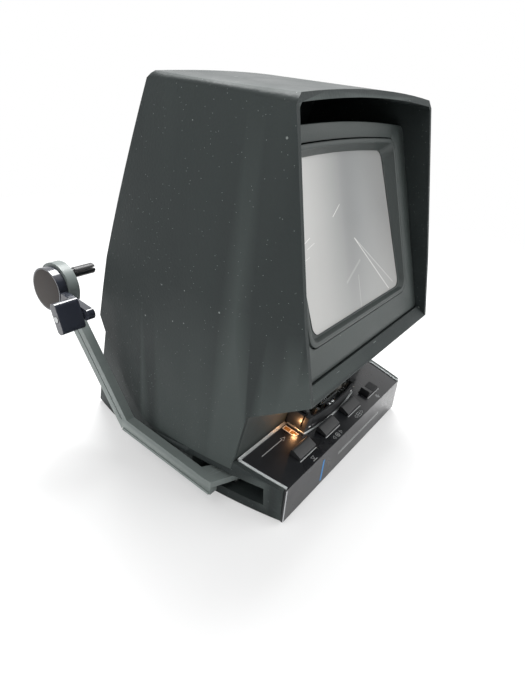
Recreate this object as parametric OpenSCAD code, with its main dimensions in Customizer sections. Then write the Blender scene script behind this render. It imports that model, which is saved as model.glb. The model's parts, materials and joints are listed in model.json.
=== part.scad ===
// Tabletop viewer and editor for 8 mm film, with two folding reel arms.
// X points to the right of a person facing the screen, Y to the back, Z up.
// The origin is on the floor, under the middle of the base.

/* [Body] */
// Half width of the body at its widest station
body_half = 106.5; // [102:0.5:112]
// Radius of the bowed side walls, seen from above
side_r = 420; // [380:10:600]
// Distance from the panel's front edge back to the widest station
wide_back = 80; // [70:1:95]
// Depth of the base along the floor
base_depth = 210; // [200:1:225]
// Wall of the base
base_wall = 3; // [2.4:0.1:3.6]
// Inward lean of the base side walls at the floor
side_draft = 4; // [2:0.5:5]
// Height of the seam between base and hood
seam_h = 33; // [32:0.5:34]
// Height of the rubber feet
foot_h = 2.5; // [2:0.1:4]
// Radius of a rubber foot
foot_r = 7; // [5:0.5:9]

/* [Panel] */
// Height of the panel's front edge
panel_h = 31.5; // [31:0.5:33]
// Rise of the panel towards the back, in degrees
panel_slope = 11; // [10:0.5:12]
// Depth of the panel along its slope
panel_depth = 39.7; // [38.5:0.1:41]
// Sheet thickness of the fascia
fascia_t = 1.5; // [1:0.1:2]
// Width of the silver trim
trim_w = 2.2; // [1.6:0.1:3]
// Thickness of the silver trim
trim_t = 0.6; // [0.4:0.1:1]

/* [Hood] */
// Wall of the hood
hood_wall = 3; // [2.4:0.1:3.6]
// Overhang of the lower front rim past the panel's front edge
rim_over = 9; // [6:0.5:12]
// Height of the lower front rim
rim_h = 101.2; // [98:0.2:104]
// Lean of the rim plane from upright, in degrees
rim_lean = 11.8; // [10:0.2:13]
// Height of the hood's side crease at the rim
crease_h = 264; // [258:1:270]
// Rise of the crown above the side crease
crown = 4.5; // [3:0.5:6]
// Rise of the top towards the back, in degrees
top_rise = 2; // [1:0.5:3]
// Distance from the panel's front edge to the back's top corner
back_top = 120.5; // [115:0.5:125]
// Bulge of the back wall
back_bulge = 4.6; // [2:0.2:7]
// Depth of the side recess for a folded arm
recess_d = 7; // [5:0.5:9]

/* [Screen] */
// Half width of the visible screen
screen_half = 68; // [60:0.5:72]
// Distance from the rim's top crease down to the screen's upper edge
screen_drop = 26.3; // [24:0.1:34]
// Height of the screen's lower edge above the rim's lower edge
screen_low = 33; // [31:0.5:36]
// Radius of the screen's corners
screen_r = 7; // [4:0.5:10]
// Width of the bezel's bevelled face
bezel_w = 9; // [7:0.5:10]
// Depth of the mask behind the rim, at the lower edge
mask_d = 8; // [7:0.2:10]
// Extra lean of the mask, in degrees
mask_lean = 5.5; // [4:0.5:7]
// Extra lean of the screen, in degrees
screen_lean = 8.4; // [7:0.2:10]
// Thickness of the screen
screen_t = 2; // [1.5:0.1:3]

/* [Reel arms] */
// Distance of an arm's hinge pin in from the body's side
hinge_inset = 16; // [14.5:0.5:18]
// Distance from the panel's front edge to the hinge pins
hinge_back = 45; // [43:0.5:47]
// Radius of a hinge pin
hinge_pin_r = 2.5; // [2:0.1:3]
// Distance of a folded arm's inner face out from the body's side
arm_gap = 2.5; // [2:0.1:5.5]
// Thickness of an arm
arm_t = 7; // [5:0.5:8]
// Width of an arm, seen from the side
arm_w = 11; // [9:0.5:12]
// Length of an arm's upper part
arm_rise = 113; // [105:1:118]
// Lean of an arm's upper part above level, in degrees
arm_angle = 53.5; // [50:0.5:57]
// Thickness of the hinge tongue
tongue_t = 5; // [4:0.5:6]
// Radius of the gear boss
boss_r = 17.9; // [17:0.1:19]
// Thickness of the gear boss
boss_t = 8; // [7:0.5:9]

/* [Reel drive] */
// Radius of a reel spindle, for reels with an 8 mm hole
spindle_r = 3.95; // [3.5:0.05:4]
// Length of a spindle past its boss
spindle_len = 25; // [20:0.5:30]
// Tooth module of the reel gears
gear_m = 0.8; // [0.7:0.05:0.85]
// Teeth of a crank's ring gear
ring_teeth = 28; // [26:2:30]
// Teeth of a spindle's pinion
pinion_teeth = 10; // [9:1:11]
// Radius of a crank disc
crank_r = 15.8; // [15:0.1:17]
// Thickness of a crank disc
crank_t = 7; // [6.5:0.5:9]
// Length of a crank lever, axis to grip
lever_len = 37.6; // [34:0.2:42]
// Droop of a crank lever below level, in degrees
lever_droop = 9; // [0:1:20]
// Length of a crank grip
grip_len = 18.4; // [16:0.2:24]
// Height of a crank grip
grip_h = 22; // [18:0.5:26]
// Thickness of a crank grip
grip_t = 6.4; // [5:0.2:8]

/* [Controls] */
// Width of a control key
key_w = 22; // [18:0.5:24]
// Depth of a control key
key_d = 9; // [8:0.5:9.5]
// Height of a control key
key_h = 4.6; // [3:0.2:6]
// Distance from the body's side to the middle of an outer key
key_margin = 51; // [49:0.5:55]
// Travel of the marking key
mark_travel = 2; // [1:0.1:2.4]
// Travel of the focus and frame sliders to each side
slide_travel = 5; // [3:0.5:6]

/* [Film path] */
// Half width of the film block
block_half = 39.5; // [38:0.5:41]
// Depth of the film block along the panel
block_d = 19.6; // [18:0.2:20]
// Height of the film block's cheeks
cheek_h = 14; // [12:0.5:15]
// Thickness of a cheek
cheek_t = 6.6; // [5:0.2:7]
// Radius of the film sprocket
sprocket_r = 7.6; // [7:0.1:7.8]
// Half size of the prism
prism_r = 4.6; // [4:0.1:4.8]
// Height of the optical axis above the panel
axis_h = 8; // [7.5:0.1:8.5]
// Radius of the lens barrel
lens_r = 8; // [7:0.1:8.6]

/* [Fits] */
// Running clearance of a shaft or pin in its bore
run_gap = 0.1; // [0.06:0.02:0.2]
// Gap between a moving part and the part beside it
move_gap = 0.4; // [0.3:0.05:0.6]
// Gap between two fixed parts that meet
seat_gap = 0.2; // [0.1:0.05:0.3]

/* [Hidden] */
$fn = 96;
front_y = -base_depth / 2;
wide_y = front_y + wide_back;
p_cos = cos(panel_slope);
p_sin = sin(panel_slope);
function panel_point(y, z) = [
    front_y + y * p_cos - z * p_sin,
    panel_h + y * p_sin + z * p_cos
];
throat_y = panel_depth + 0.3;
throat_h = 41;
throat_foot = panel_point(throat_y, (seam_h - panel_h - throat_y * p_sin) / p_cos)[0];
rim_y = front_y - rim_over;
rim_low = [rim_y, rim_h];
rim_up = [sin(rim_lean), cos(rim_lean)];
screen_tall = (crease_h - rim_h) / cos(rim_lean) - screen_low - screen_drop;
rim_in = [cos(rim_lean), -sin(rim_lean)];
function rim_point(t, d) = rim_low + t * rim_up + d * rim_in;

// Top and back surfaces of the hood
rim_top_y = rim_y + 34;
top_z = crease_h + crown;
crown_r = (99 * 99 + crown * crown) / (2 * crown);
back_corner = [front_y + back_top, top_z + (front_y + back_top - rim_top_y) * tan(top_rise)];
back_foot = [front_y + base_depth - 2, 6];
back_chord = norm(back_corner - back_foot);
back_r = (back_chord * back_chord / 4 + back_bulge * back_bulge) / (2 * back_bulge);
back_out = [back_corner[1] - back_foot[1], back_foot[0] - back_corner[0]] / back_chord;
back_mid = (back_corner + back_foot) / 2;
back_axis = back_mid - back_out * (back_r - back_bulge);
function back_at(z) = back_axis[0] + sqrt(back_r * back_r - (z - back_axis[1]) * (z - back_axis[1]));
function back_angle(z) = asin((z - back_axis[1]) / back_r);
lean_h = 150;
lean_top = 3.9;
chamfer_x = body_half - (crease_h - lean_h) * tan(lean_top) - 1.3;
chamfer_z = crease_h + (wide_y - rim_top_y) * tan(top_rise) - 1.3;

// Plan position and film path, in the panel's own frame
film_axis_y = 34.2;
film_y = film_axis_y - sprocket_r;
gate_m = 0.8;
sprocket_x = gate_m * (36 + 12) / 2;
bow_y = panel_depth - block_d - 0.9;
bow_r = 244;
key_y = 8.6;
window_x = block_half + 6.7;
window_y = 24.9;
lamp_x = body_half - key_margin;
key_pitch = lamp_x / 1.5;
mark_x = -1.5 * key_pitch;
mark_floor = -7 - mark_travel;
focus_x = -0.5 * key_pitch;
frame_x = 0.5 * key_pitch;
lamp_y = 21;

// Reel arm and drive
hinge_x = body_half - hinge_inset;
arm_x = body_half + arm_gap;
hinge_y = front_y + hinge_back;
elbow = [front_y + 133.9, 30.7];
arm_root = [hinge_y + 3, 17.8];
hub = elbow + arm_rise * [cos(arm_angle), sin(arm_angle)];
gear_off = gear_m * (ring_teeth - pinion_teeth) / 2;
disc_x = arm_x + boss_t + move_gap;
lever_end = [hub[0] - lever_len * cos(lever_droop), hub[1] - lever_len * sin(lever_droop)];

// Mirrors
lens_line = panel_slope;
small_at = panel_point(84, axis_h);
large_z = crease_h - 84;
large_at = [back_at(large_z) - 18.14, large_z];
large_half = body_half - 60.5;
small_half = lens_r + 5;
rise_angle = atan2(large_at[1] - small_at[1], large_at[0] - small_at[0]);
screen_mid = rim_point(screen_low + screen_tall / 2, mask_d + 12);
throw_angle = atan2(screen_mid[1] - large_at[1], screen_mid[0] - large_at[0]);
small_tilt = (lens_line + rise_angle) / 2;
large_tilt = (rise_angle + (throw_angle < 0 ? throw_angle + 360 : throw_angle)) / 2;

module on_panel() {
    translate([0, front_y, panel_h])
        rotate([panel_slope, 0, 0])
            children();
}

module on_rim() {
    translate([0, rim_y, rim_h])
        rotate([-rim_lean, 0, 0])
            children();
}

module on_mask() {
    on_rim()
        translate([0, mask_d, 0])
            rotate([-mask_lean, 0, 0])
                children();
}

module on_screen() {
    on_rim()
        translate([0, mask_d + 0.8, 0])
            rotate([-screen_lean, 0, 0])
                children();
}

module on_back(x, z) {
    translate([x, back_at(z), z])
        rotate([back_angle(z) - 90, 0, 0])
            children();
}

module block(x0, x1, y0, y1, z0, z1) {
    translate([x0, y0, z0])
        cube([x1 - x0, y1 - y0, z1 - z0]);
}

// Straight prism along X from an outline in Y and Z
module along_x(x0, x1) {
    translate([x0, 0, 0])
        rotate([90, 0, 90])
            linear_extrude(height = x1 - x0)
                children();
}

module rod_x(x0, x1, y, z, r) {
    translate([x0, y, z])
        rotate([0, 90, 0])
            cylinder(r = r, h = x1 - x0);
}

module both_sides() {
    children();
    mirror([1, 0, 0])
        children();
}

// One bowed side wall: everything inside it, leaning inward by tilt above height z
module side_round(side, inset, z, tilt) {
    translate([side * body_half, 0, z])
        rotate([0, -side * tilt, 0])
            translate([-side * side_r, wide_y, -320])
                rotate([0, 0, 90 + side * 90])
                    cylinder(r = side_r - inset, h = 640, $fn = 480);
}

module side_pair(inset, z = 100, tilt = 0) {
    intersection() {
        side_round(1, inset, z, tilt);
        side_round(-1, inset, z, tilt);
    }
}

module crease_round(side, inset) {
    translate([side * chamfer_x, wide_y, chamfer_z])
        rotate([top_rise, 0, 0])
            rotate([0, -side * 45, 0])
                translate([-side * side_r, 0, -420])
                    rotate([0, 0, 90 + side * 90])
                        cylinder(r = side_r - inset, h = 840, $fn = 480);
}

module back_round(inset) {
    translate([-160, back_axis[0], back_axis[1]])
        rotate([0, 90, 0])
            cylinder(r = back_r - inset, h = 320, $fn = 1440);
}

module top_round(inset) {
    translate([0, rim_top_y, top_z])
        rotate([top_rise, 0, 0])
            translate([0, -160, -crown_r])
                rotate([-90, 0, 0])
                    cylinder(r = crown_r - inset, h = 360, $fn = 960);
}

// Hood volume bounded by sides, crown and back wall, without its front and bottom
module hood_round(inset) {
    intersection() {
        side_pair(inset);
        side_pair(inset, lean_h, lean_top);
        crease_round(1, inset);
        crease_round(-1, inset);
        back_round(inset);
        top_round(inset == 0 ? 0 : inset + 1.2);
    }
}

module hood_outline() {
    corner = back_corner - 3.2 * [0.584, 0.812];
    polygon([
        rim_low,
        rim_point(190, 0),
        corner + 70 * [-0.812, 0.584],
        corner + 70 * [0.812, -0.584],
        [180, seam_h],
        [throat_foot, seam_h],
        panel_point(throat_y, throat_h)
    ]);
}

module hood_hollow() {
    low = panel_point(throat_y, throat_h);
    under = (rim_low - low) / norm(rim_low - low);
    up = [-under[1], under[0]] * -1;
    polygon([
        rim_point(-2, -6),
        rim_point(0.6, -0.2),
        rim_point(7.9, 6.5),
        low + hood_wall * up - 5 * under,
        panel_point(throat_y + 3.2, throat_h),
        panel_point(throat_y + 3.2, throat_h - 2.8),
        panel_point(throat_y - 12, throat_h - 2.8),
        panel_point(throat_y - 12, -14),
        [-60, 0],
        [180, 0],
        [180, 330],
        rim_point(220, -6)
    ]);
}

// Side view of the space for a folded arm
module recess_outline() {
    polygon([
        [hinge_y + 30, -9], [hinge_y + 30, 25.5], [-3.6, 25.5], [7.4, 28], [19, 31],
        [31, 40.5], [43, 52.6], [55, 73.6], [68, 85], [78, 100], [150, 100], [150, -9]
    ]);
}

module recess_zone(grow = 0) {
    along_x(-160, 160)
        translate([-grow * 0.75, grow * 0.75])
            recess_outline();
}

module hood_shape() {
    difference() {
        intersection() {
            hood_round(0);
            along_x(-160, 160) hood_outline();
        }
        difference() {
            recess_zone();
            side_pair(recess_d);
        }
    }
}

module hood_room(inset) {
    difference() {
        intersection() {
            hood_round(inset);
            along_x(-160, 160) hood_hollow();
        }
        difference() {
            recess_zone(inset + 0.6);
            side_pair(recess_d + inset);
        }
    }
}

window_half = body_half - 42.5;
window_low = seam_h + 29;
window_high = crease_h - 42;

module rear_window(grow) {
    block(-window_half - grow, window_half + grow, 0, 160, window_low - grow, window_high + grow);
}

screw_x = window_half - 3.5;
rear_spots = [
    for (z = [window_low + 4, (window_low + window_high) / 2, window_high - 4])
        for (x = [-screw_x, screw_x])
            [x, z]
];

module hood_shell() {
    color("DarkSlateGray")
        difference() {
            hood_shape();
            hood_room(hood_wall);
            rear_window(-7);
            difference() {
                rear_window(0);
                hood_round(1.5);
            }
            for (s = rear_spots)
                on_back(s[0], s[1])
                    translate([0, 0, -9])
                        cylinder(r = 1.35, h = 14);
        }
}

module rear_cover() {
    color("DarkSlateGray")
        difference() {
            union() {
                difference() {
                    intersection() {
                        hood_round(0);
                        rear_window(-0.3);
                    }
                    hood_round(1.4);
                }
                difference() {
                    intersection() {
                        hood_round(1.2);
                        rear_window(-7.3);
                    }
                    hood_round(hood_wall);
                }
            }
            for (k = [0:6])
                on_back(0, window_high - 46 + k * 6)
                    translate([-36, -1.4, -9])
                        cube([72, 2.8, 14]);
            for (s = rear_spots)
                on_back(s[0], s[1])
                    translate([0, 0, -9])
                        cylinder(r = 1.35, h = 14);
        }
}

module rear_screws() {
    color("Silver")
        for (s = rear_spots)
            on_back(s[0], s[1]) {
                translate([0, 0, 0.05])
                    difference() {
                        cylinder(r = 2.6, h = 1.2);
                        translate([0, 0, 1.4])
                            cube([4, 0.7, 1.4], center = true);
                    }
                translate([0, 0, -2.8])
                    cylinder(r = 1.3, h = 2.9);
            }
}

// Base volume with leaning side walls
module base_round(inset) {
    intersection() {
        side_pair(inset);
        side_pair(inset, seam_h, -atan(side_draft / (seam_h - foot_h)));
        back_round(inset);
    }
}

module base_outline() {
    polygon([
        [front_y + fascia_t + 0.3, foot_h],
        [front_y + fascia_t + 0.3, panel_h + 0.5],
        panel_point(1.9, 0.3),
        panel_point(throat_y - 0.2, 0.3),
        [throat_foot - 0.2, seam_h],
        [180, seam_h],
        [180, foot_h]
    ]);
}

module base_room(inset) {
    wall_y = front_y + fascia_t + 2.8;
    difference() {
        intersection() {
            base_round(inset);
            along_x(-160, 160)
                polygon([
                    [wall_y, -3],
                    [wall_y, panel_h - 4],
                    panel_point(throat_y + 3, -4.2),
                    panel_point(throat_y + 3, 30),
                    [180, 90],
                    [180, -3]
                ]);
        }
        difference() {
            recess_zone(inset + 0.6);
            side_pair(recess_d + inset);
        }
    }
}

post_spots = [[-70, front_y + 8.6], [70, front_y + 8.6], [-58, 93], [58, 93]];
inlet_x = -28;
inlet_z = 19;

module arm_pocket(grow) {
    block(body_half - 28.5 - grow, body_half + 14, hinge_y - 30 - grow, hinge_y + 29 + grow,
        11.5 - grow, 27.5 + grow);
}

module base_housing() {
    color("DarkSlateGray")
        difference() {
            union() {
                difference() {
                    intersection() {
                        base_round(0);
                        along_x(-160, 160) base_outline();
                    }
                    difference() {
                        recess_zone();
                        side_pair(recess_d);
                    }
                    base_room(base_wall);
                    intersection() {
                        side_pair(base_wall + 4.5);
                        on_panel() block(-130, 130, 4.5, 36, -12, 6);
                    }
                }
                intersection() {
                    both_sides() arm_pocket(2);
                    base_round(base_wall / 2);
                }
                intersection() {
                    side_pair(base_wall + 0.5);
                    on_panel() block(-130, 130, 36, throat_y + 3, -4.2, -1.7);
                }
                for (p = post_spots)
                    translate([p[0], p[1], foot_h + 2.8])
                        cylinder(r = 4.5, h = 16);
            }
            intersection() {
                side_pair(base_wall);
                on_panel() block(-130, 130, -12, throat_y, -1.7, 9);
            }
            both_sides() arm_pocket(0);
            both_sides()
                translate([hinge_x, hinge_y, 6])
                    cylinder(r = hinge_pin_r + 0.03, h = 25);
            for (p = post_spots)
                translate([p[0], p[1], 0])
                    cylinder(r = 1.55, h = 17);
            on_panel() block(-9, 36, 14, 50, -12, -1);
            on_back(inlet_x, inlet_z)
                block(-12.2, 12.2, -8.2, 8.2, -9, 6);
        }
}

module base_plate() {
    color("DimGray")
        difference() {
            intersection() {
                base_round(base_wall + 0.3);
                block(-120, 120, front_y + fascia_t + 3.1, 130, foot_h + 0.4, foot_h + 2.6);
                difference() {
                    block(-120, 120, -130, 130, 0, 10);
                    difference() {
                        recess_zone(base_wall + 1);
                        side_pair(recess_d + base_wall + 0.3);
                    }
                }
            }
            for (p = post_spots)
                translate([p[0], p[1], 0])
                    cylinder(r = 1.7, h = 10);
            for (k = [-3:3])
                block(-20, 20, k * 8 + 20, k * 8 + 23, 0, 10);
        }
}

foot_spots = [[-80, -84], [80, -84], [-66, 72], [66, 72]];

module rubber_feet() {
    color("Black")
        for (p = foot_spots)
            translate([p[0], p[1], 0]) {
                cylinder(r = foot_r, h = foot_h + 0.4);
                cylinder(r = foot_r - 1, h = foot_h + 0.4);
            }
}

module base_screws() {
    color("Silver")
        for (p = post_spots)
            translate([p[0], p[1], foot_h - 1.2]) {
                difference() {
                    cylinder(r = 3, h = 1.5);
                    cube([4.4, 0.8, 1], center = true);
                }
                cylinder(r = 1.5, h = 13);
            }
}

module key_hole(x, half) {
    block(x - half, x + half, key_y - 0.3, key_y + key_d + 0.3, -8, 5);
}

module fascia_panel() {
    color("Black")
        difference() {
            union() {
                intersection() {
                    side_pair(base_wall + 0.25);
                    union() {
                        on_panel() block(-130, 130, 0.25, panel_depth, -fascia_t, 0);
                        block(-130, 130, front_y, front_y + fascia_t, foot_h, panel_h);
                    }
                }
                // Guide box under the marking key
                on_panel()
                    difference() {
                        block(mark_x - 13.6, mark_x + 13.6, key_y - 1.9, key_y + key_d + 1.9,
                            mark_floor - 1, -fascia_t);
                        block(mark_x - 12.3, mark_x + 12.3, key_y - 0.7, key_y + key_d + 0.7,
                            mark_floor, 1);
                    }
            }
            on_panel() {
                key_hole(mark_x, key_w / 2 + 0.3);
                for (x = [focus_x, frame_x])
                    block(x - 4 - move_gap - slide_travel, x + 4 + move_gap + slide_travel,
                        11.1, 15.1, -8, 5);
                key_hole(lamp_x, 11.3);
                translate([mark_x, key_y + key_d / 2, mark_floor - 3])
                    cylinder(r = 1.3, h = 8);
                block(-13, 28.6, 20.8, 38, -8, 5);
                for (x = [-window_x, window_x])
                    block(x - 1.9, x + 1.9, window_y, window_y + 11, -1.2, 5);
                for (x = [-window_x, window_x])
                    block(x - 1.3, x + 1.3, window_y + 0.6, window_y + 10.4, -5, 5);
            }
        }
}

module trim_frame() {
    z1 = 0.05;
    color("Silver")
        on_panel() {
            difference() {
                intersection() {
                    translate([0, -front_y, 0])
                        side_pair(base_wall + 0.5);
                    block(-130, 130, 0.8, panel_depth - 0.2, z1, z1 + trim_t);
                }
                intersection() {
                    translate([0, -front_y, 0])
                        side_pair(base_wall + 0.5 + trim_w);
                    block(-130, 130, -1, panel_depth - 0.2 - trim_w, -1, 2);
                }
                block(-block_half - 0.3, block_half + 0.3, 15, 45, -1, 2);
            }
            difference() {
                intersection() {
                    translate([0, bow_y - 1.4 + bow_r, z1])
                        cylinder(r = bow_r, h = trim_t, $fn = 720);
                    block(-block_half - 1.7, block_half + 1.7, 10, panel_depth - 2.6, z1, z1 + trim_t);
                }
                intersection() {
                    translate([0, bow_y - 0.3 + bow_r, -1])
                        cylinder(r = bow_r, h = 3, $fn = 720);
                    block(-block_half - 0.3, block_half + 0.3, 10, 50, -1, 2);
                }
            }
        }
}

module window_lenses() {
    color("Orange")
        on_panel()
            for (x = [-window_x, window_x])
                for (y = [window_y + 0.15, window_y + 5.6])
                    block(x - 1.75, x + 1.75, y, y + 5.25, -1.1, 0.2);
}

module throat_panel() {
    color("DarkSlateGray")
        difference() {
            intersection() {
                side_pair(hood_wall + 0.25);
                on_panel()
                    block(-120, 120, throat_y + 0.3, throat_y + 2.8, -1.6, throat_h - 3);
            }
            on_panel()
                block(-9.5, 29.5, 30, 50, 0.6, 14.6);
        }
}

gap_half = screen_half + 9.5;
gap_low = screen_low - 6;
gap_high = screen_low + screen_tall + 6;

module screen_mask() {
    color("DarkSlateGray")
        intersection() {
            side_pair(hood_wall + 0.25);
            side_pair(hood_wall + 0.25, lean_h, lean_top);
            on_mask()
                difference() {
                    block(-body_half - 3.5, body_half + 3.5, 0, 2, gap_low - 19.4, gap_high + 11);
                    block(-gap_half - 0.4, gap_half + 0.4, -3, 6, gap_low - 0.4, gap_high + 0.4);
                }
        }
}

bevel = atan((bezel_w - 3) / 7.7);

// Slanted faces that bound the opening in front of the screen
module bezel_side(s) {
    translate([s * screen_half, 7, 80])
        rotate([0, 0, s * bevel])
            translate([s < 0 ? 0 : -300, -80, -150])
                cube([300, 160, 300]);
}

module bezel_end(s, z) {
    translate([0, 7, z])
        rotate([-s * bevel, 0, 0])
            translate([-150, -80, s < 0 ? 0 : -300])
                cube([300, 160, 300]);
}

module rounded_frame(x, z0, z1, y0, y1, r) {
    for (sx = [-1, 1])
        for (z = [z0 + r, z1 - r])
            translate([sx * (x - r), y1, z])
                rotate([90, 0, 0])
                    cylinder(r = r, h = y1 - y0);
    block(-x, x, y0, y1, z0 + r, z1 - r);
    block(-x + r, x - r, y0, y1, z0, z1);
}

module screen_bezel() {
    high = screen_low + screen_tall;
    color("DarkSlateGray")
        difference() {
            on_mask() block(-gap_half, gap_half, -0.8, 13, gap_low, gap_high);
            on_mask()
                intersection() {
                    bezel_side(1);
                    bezel_side(-1);
                    bezel_end(1, high);
                    bezel_end(-1, screen_low);
                }
            on_screen() rounded_frame(screen_half, screen_low, high, -20, 30, screen_r);
            on_screen()
                block(-screen_half - 4 - seat_gap, screen_half + 4 + seat_gap,
                    0, 40, screen_low - 3 - seat_gap, high + 3 + seat_gap);
        }
}

module viewing_screen() {
    color("WhiteSmoke")
        on_screen()
            block(-screen_half - 4, screen_half + 4, 0.1, screen_t,
                screen_low - 3, screen_low + screen_tall + 3);
}

module screen_clips() {
    high = screen_low + screen_tall;
    color("Silver")
        on_screen()
            for (x = [-50, 50]) {
                block(x - 6, x + 6, screen_t + 0.1, screen_t + 0.9, screen_low - 3, screen_low + 6);
                block(x - 6, x + 6, screen_t + 0.1, screen_t + 0.9, high - 6, high + 3);
            }
}

// Local frame of a mirror: its face looks along +Z
module on_small_mirror() {
    translate([0, small_at[0], small_at[1]])
        rotate([small_tilt, 0, 0])
            children();
}

module on_large_mirror() {
    translate([0, large_at[0], large_at[1]])
        rotate([large_tilt, 0, 0])
            children();
}

module small_mirror() {
    color("LightCyan")
        on_small_mirror()
            block(-small_half, small_half, 2 - small_half, small_half - 2, -2, 0);
}

module small_mirror_bracket() {
    post_y = small_at[0] + 3;
    color("Gray")
        difference() {
            union() {
                on_small_mirror()
                    block(-small_half - 1, small_half + 1, 1 - small_half, small_half - 1, -3.8, -2.1);
                block(-10, 10, post_y, post_y + 3, foot_h + 2.8, small_at[1] + 1);
                block(-12, 12, post_y - 8, post_y + 12, foot_h + 2.7, foot_h + 4.7);
            }
            on_small_mirror() block(-30, 30, -30, 30, -2.1, 30);
            for (x = [-6, 6])
                translate([x, post_y + 8, 0])
                    cylinder(r = 1.6, h = 12);
        }
}

module large_mirror() {
    color("LightCyan")
        on_large_mirror()
            block(-large_half, large_half, -38, 38, -3, 0);
}

module large_mirror_bracket() {
    color("Gray") {
        intersection() {
            hood_round(hood_wall + 0.3);
            on_large_mirror() block(-body_half - 14, body_half + 14, -7, 7, -8, -4.4);
        }
        on_large_mirror() {
            block(-large_half - 2, large_half + 2, -40, 40, -4.6, -3.1);
            for (x = [16 - large_half, large_half - 16])
                for (s = [-1, 1])
                    block(x - 5, x + 5, s * 39.2 - 0.8, s * 39.2 + 0.8, -3.2, 0.9);
        }
    }
}

module lens_mount() {
    y0 = throat_y + 3.1;
    color("DimGray")
        on_panel()
            difference() {
                union() {
                    block(-12, 32, y0, y0 + 2, -0.8, 18.2);
                    translate([0, y0 + 1, axis_h])
                        rotate([-90, 0, 0])
                            cylinder(r = lens_r + 2.6, h = 15);
                }
                translate([0, y0 + 2, axis_h])
                    rotate([-90, 0, 0])
                        cylinder(r = lens_r + run_gap, h = 30);
                translate([0, y0 - 5, axis_h])
                    rotate([-90, 0, 0])
                        cylinder(r = 5.5, h = 30);
            }
}

module lens_barrel() {
    y0 = throat_y + 7;
    color("Black")
        on_panel()
            translate([0, y0, axis_h])
                rotate([-90, 0, 0])
                    difference() {
                        cylinder(r = lens_r, h = 20);
                        translate([0, 0, -1])
                            cylinder(r = 5.2, h = 24);
                        for (z = [3, 15.6])
                            translate([0, 0, z])
                                cylinder(r = 6.4, h = z < 10 ? 2.4 : 6);
                    }
}

module lens_glass() {
    y0 = throat_y + 7;
    color("PaleTurquoise")
        on_panel()
            translate([0, y0, axis_h])
                rotate([-90, 0, 0]) {
                    translate([0, 0, 3.1])
                        cylinder(r = 6.3, h = 2.2);
                    translate([0, 0, 15.7])
                        cylinder(r = 6.3, h = 2.2);
                }
}

module lamp_house() {
    color("Silver")
        on_panel()
            difference() {
                union() {
                    translate([0, lamp_y, -25])
                        cylinder(r = 7.5, h = 23.4);
                    block(-6.8, 6.8, 9.5, 21, -2.9, -fascia_t - 0.1);
                }
                translate([0, lamp_y, -23.8])
                    cylinder(r = 6.6, h = 30);
                translate([0, lamp_y, -30])
                    cylinder(r = 4.2, h = 30);
            }
}

module lamp_socket() {
    color("Ivory")
        on_panel()
            difference() {
                union() {
                    translate([0, lamp_y, -28])
                        cylinder(r = 4, h = 8);
                    translate([0, lamp_y, -28])
                        cylinder(r = 6.5, h = 2.8);
                }
                translate([0, lamp_y, -26])
                    cylinder(r = 3.1, h = 10);
            }
}

module lamp() {
    color("LightYellow")
        on_panel() {
            translate([0, lamp_y, -25.9])
                cylinder(r = 3, h = 10);
            translate([0, lamp_y, -13.4])
                sphere(r = 4.2);
        }
}

module condenser_lens() {
    color("PaleTurquoise")
        on_panel() {
            translate([0, lamp_y, -6])
                cylinder(r = 6.5, h = 2.4);
            translate([-4.8, 0, 0])
                along_x(0, 9.6)
                    polygon([[21.1, 6], [25, 6], [25, 10]]);
        }
}

// Solid plan of the film block with its bowed front
module block_plan(z0, z1, grow = 0) {
    intersection() {
        translate([0, bow_y - grow + bow_r, z0])
            cylinder(r = bow_r, h = z1 - z0, $fn = 720);
        block(-block_half, block_half, 10, panel_depth - 0.2, z0, z1);
    }
}

cheek_in = block_half - cheek_t;
flap_y = 21.9;
flap_z = 3.9;

module film_gate() {
    color("Black")
        on_panel()
            difference() {
                union() {
                    block_plan(0.1, 2);
                    intersection() {
                        block_plan(0.1, cheek_h);
                        union() {
                            block(-60, -cheek_in, 0, 60, 0, 30);
                            block(cheek_in, 60, 0, 60, 0, 30);
                        }
                    }
                    // Bridge with the upper shaft bearings
                    block(-9.5, 29.8, 30.4, panel_depth - 0.2, 12.9, cheek_h);
                    for (p = [[-8.4, 38], [8.7, 38.2], [29, 37.6]])
                        translate([p[0], p[1], 1])
                            cylinder(r = 1, h = 12.5);
                    for (x = [-6.9, 5.1])
                        block(x, x + 1.8, 21.3, 25, 1, 10);
                }
                // Film channel through both cheeks
                block(-60, 60, film_y - 0.7, film_y + 0.5, 3, 30);
                // Light well and shaft bearings
                block(-4.8, 4.8, 20.6, 24.6, -3, 4);
                translate([0, film_axis_y, -2])
                    cylinder(r = 1.5 + run_gap, h = 30);
                translate([sprocket_x, film_axis_y, -2])
                    cylinder(r = 1.5 + run_gap, h = 30);
                for (x = [-cheek_in + 2.8, cheek_in - 2.8])
                    translate([x, film_y + 2.1, 0.6])
                        cylinder(r = 0.93, h = 8);
                // Blind holes of the flap pins and the selector
                both_sides()
                    rod_x(cheek_in - 1, cheek_in + 3, flap_y, flap_z, 0.83);
                translate([cheek_in + 3.3, 34, 6])
                    cylinder(r = 2.5, h = 20);
                translate([-cheek_in - 3.3, 33, cheek_h - 0.7])
                    cube([2.4, 11, 1.6], center = true);
            }
}

module gate_rails() {
    color("Silver")
        on_panel() {
            difference() {
                block(-12, 11, film_y - 1.4, film_y - 0.5, 2.05, cheek_h - 0.6);
                block(-2.9, 2.9, 20, 30, axis_h - 2.1, axis_h + 2.1);
            }
            difference() {
                block(-23, -20.6, 23.6, panel_depth - 1, 2.05, cheek_h - 0.4);
                block(-30, -10, film_y - 0.7, film_y + 0.5, 3, 30);
            }
            for (x = [13.4, 17.4, 21.4])
                block(x, x + 1, 24, film_y - 0.9, 2.05, 12);
        }
}

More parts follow.
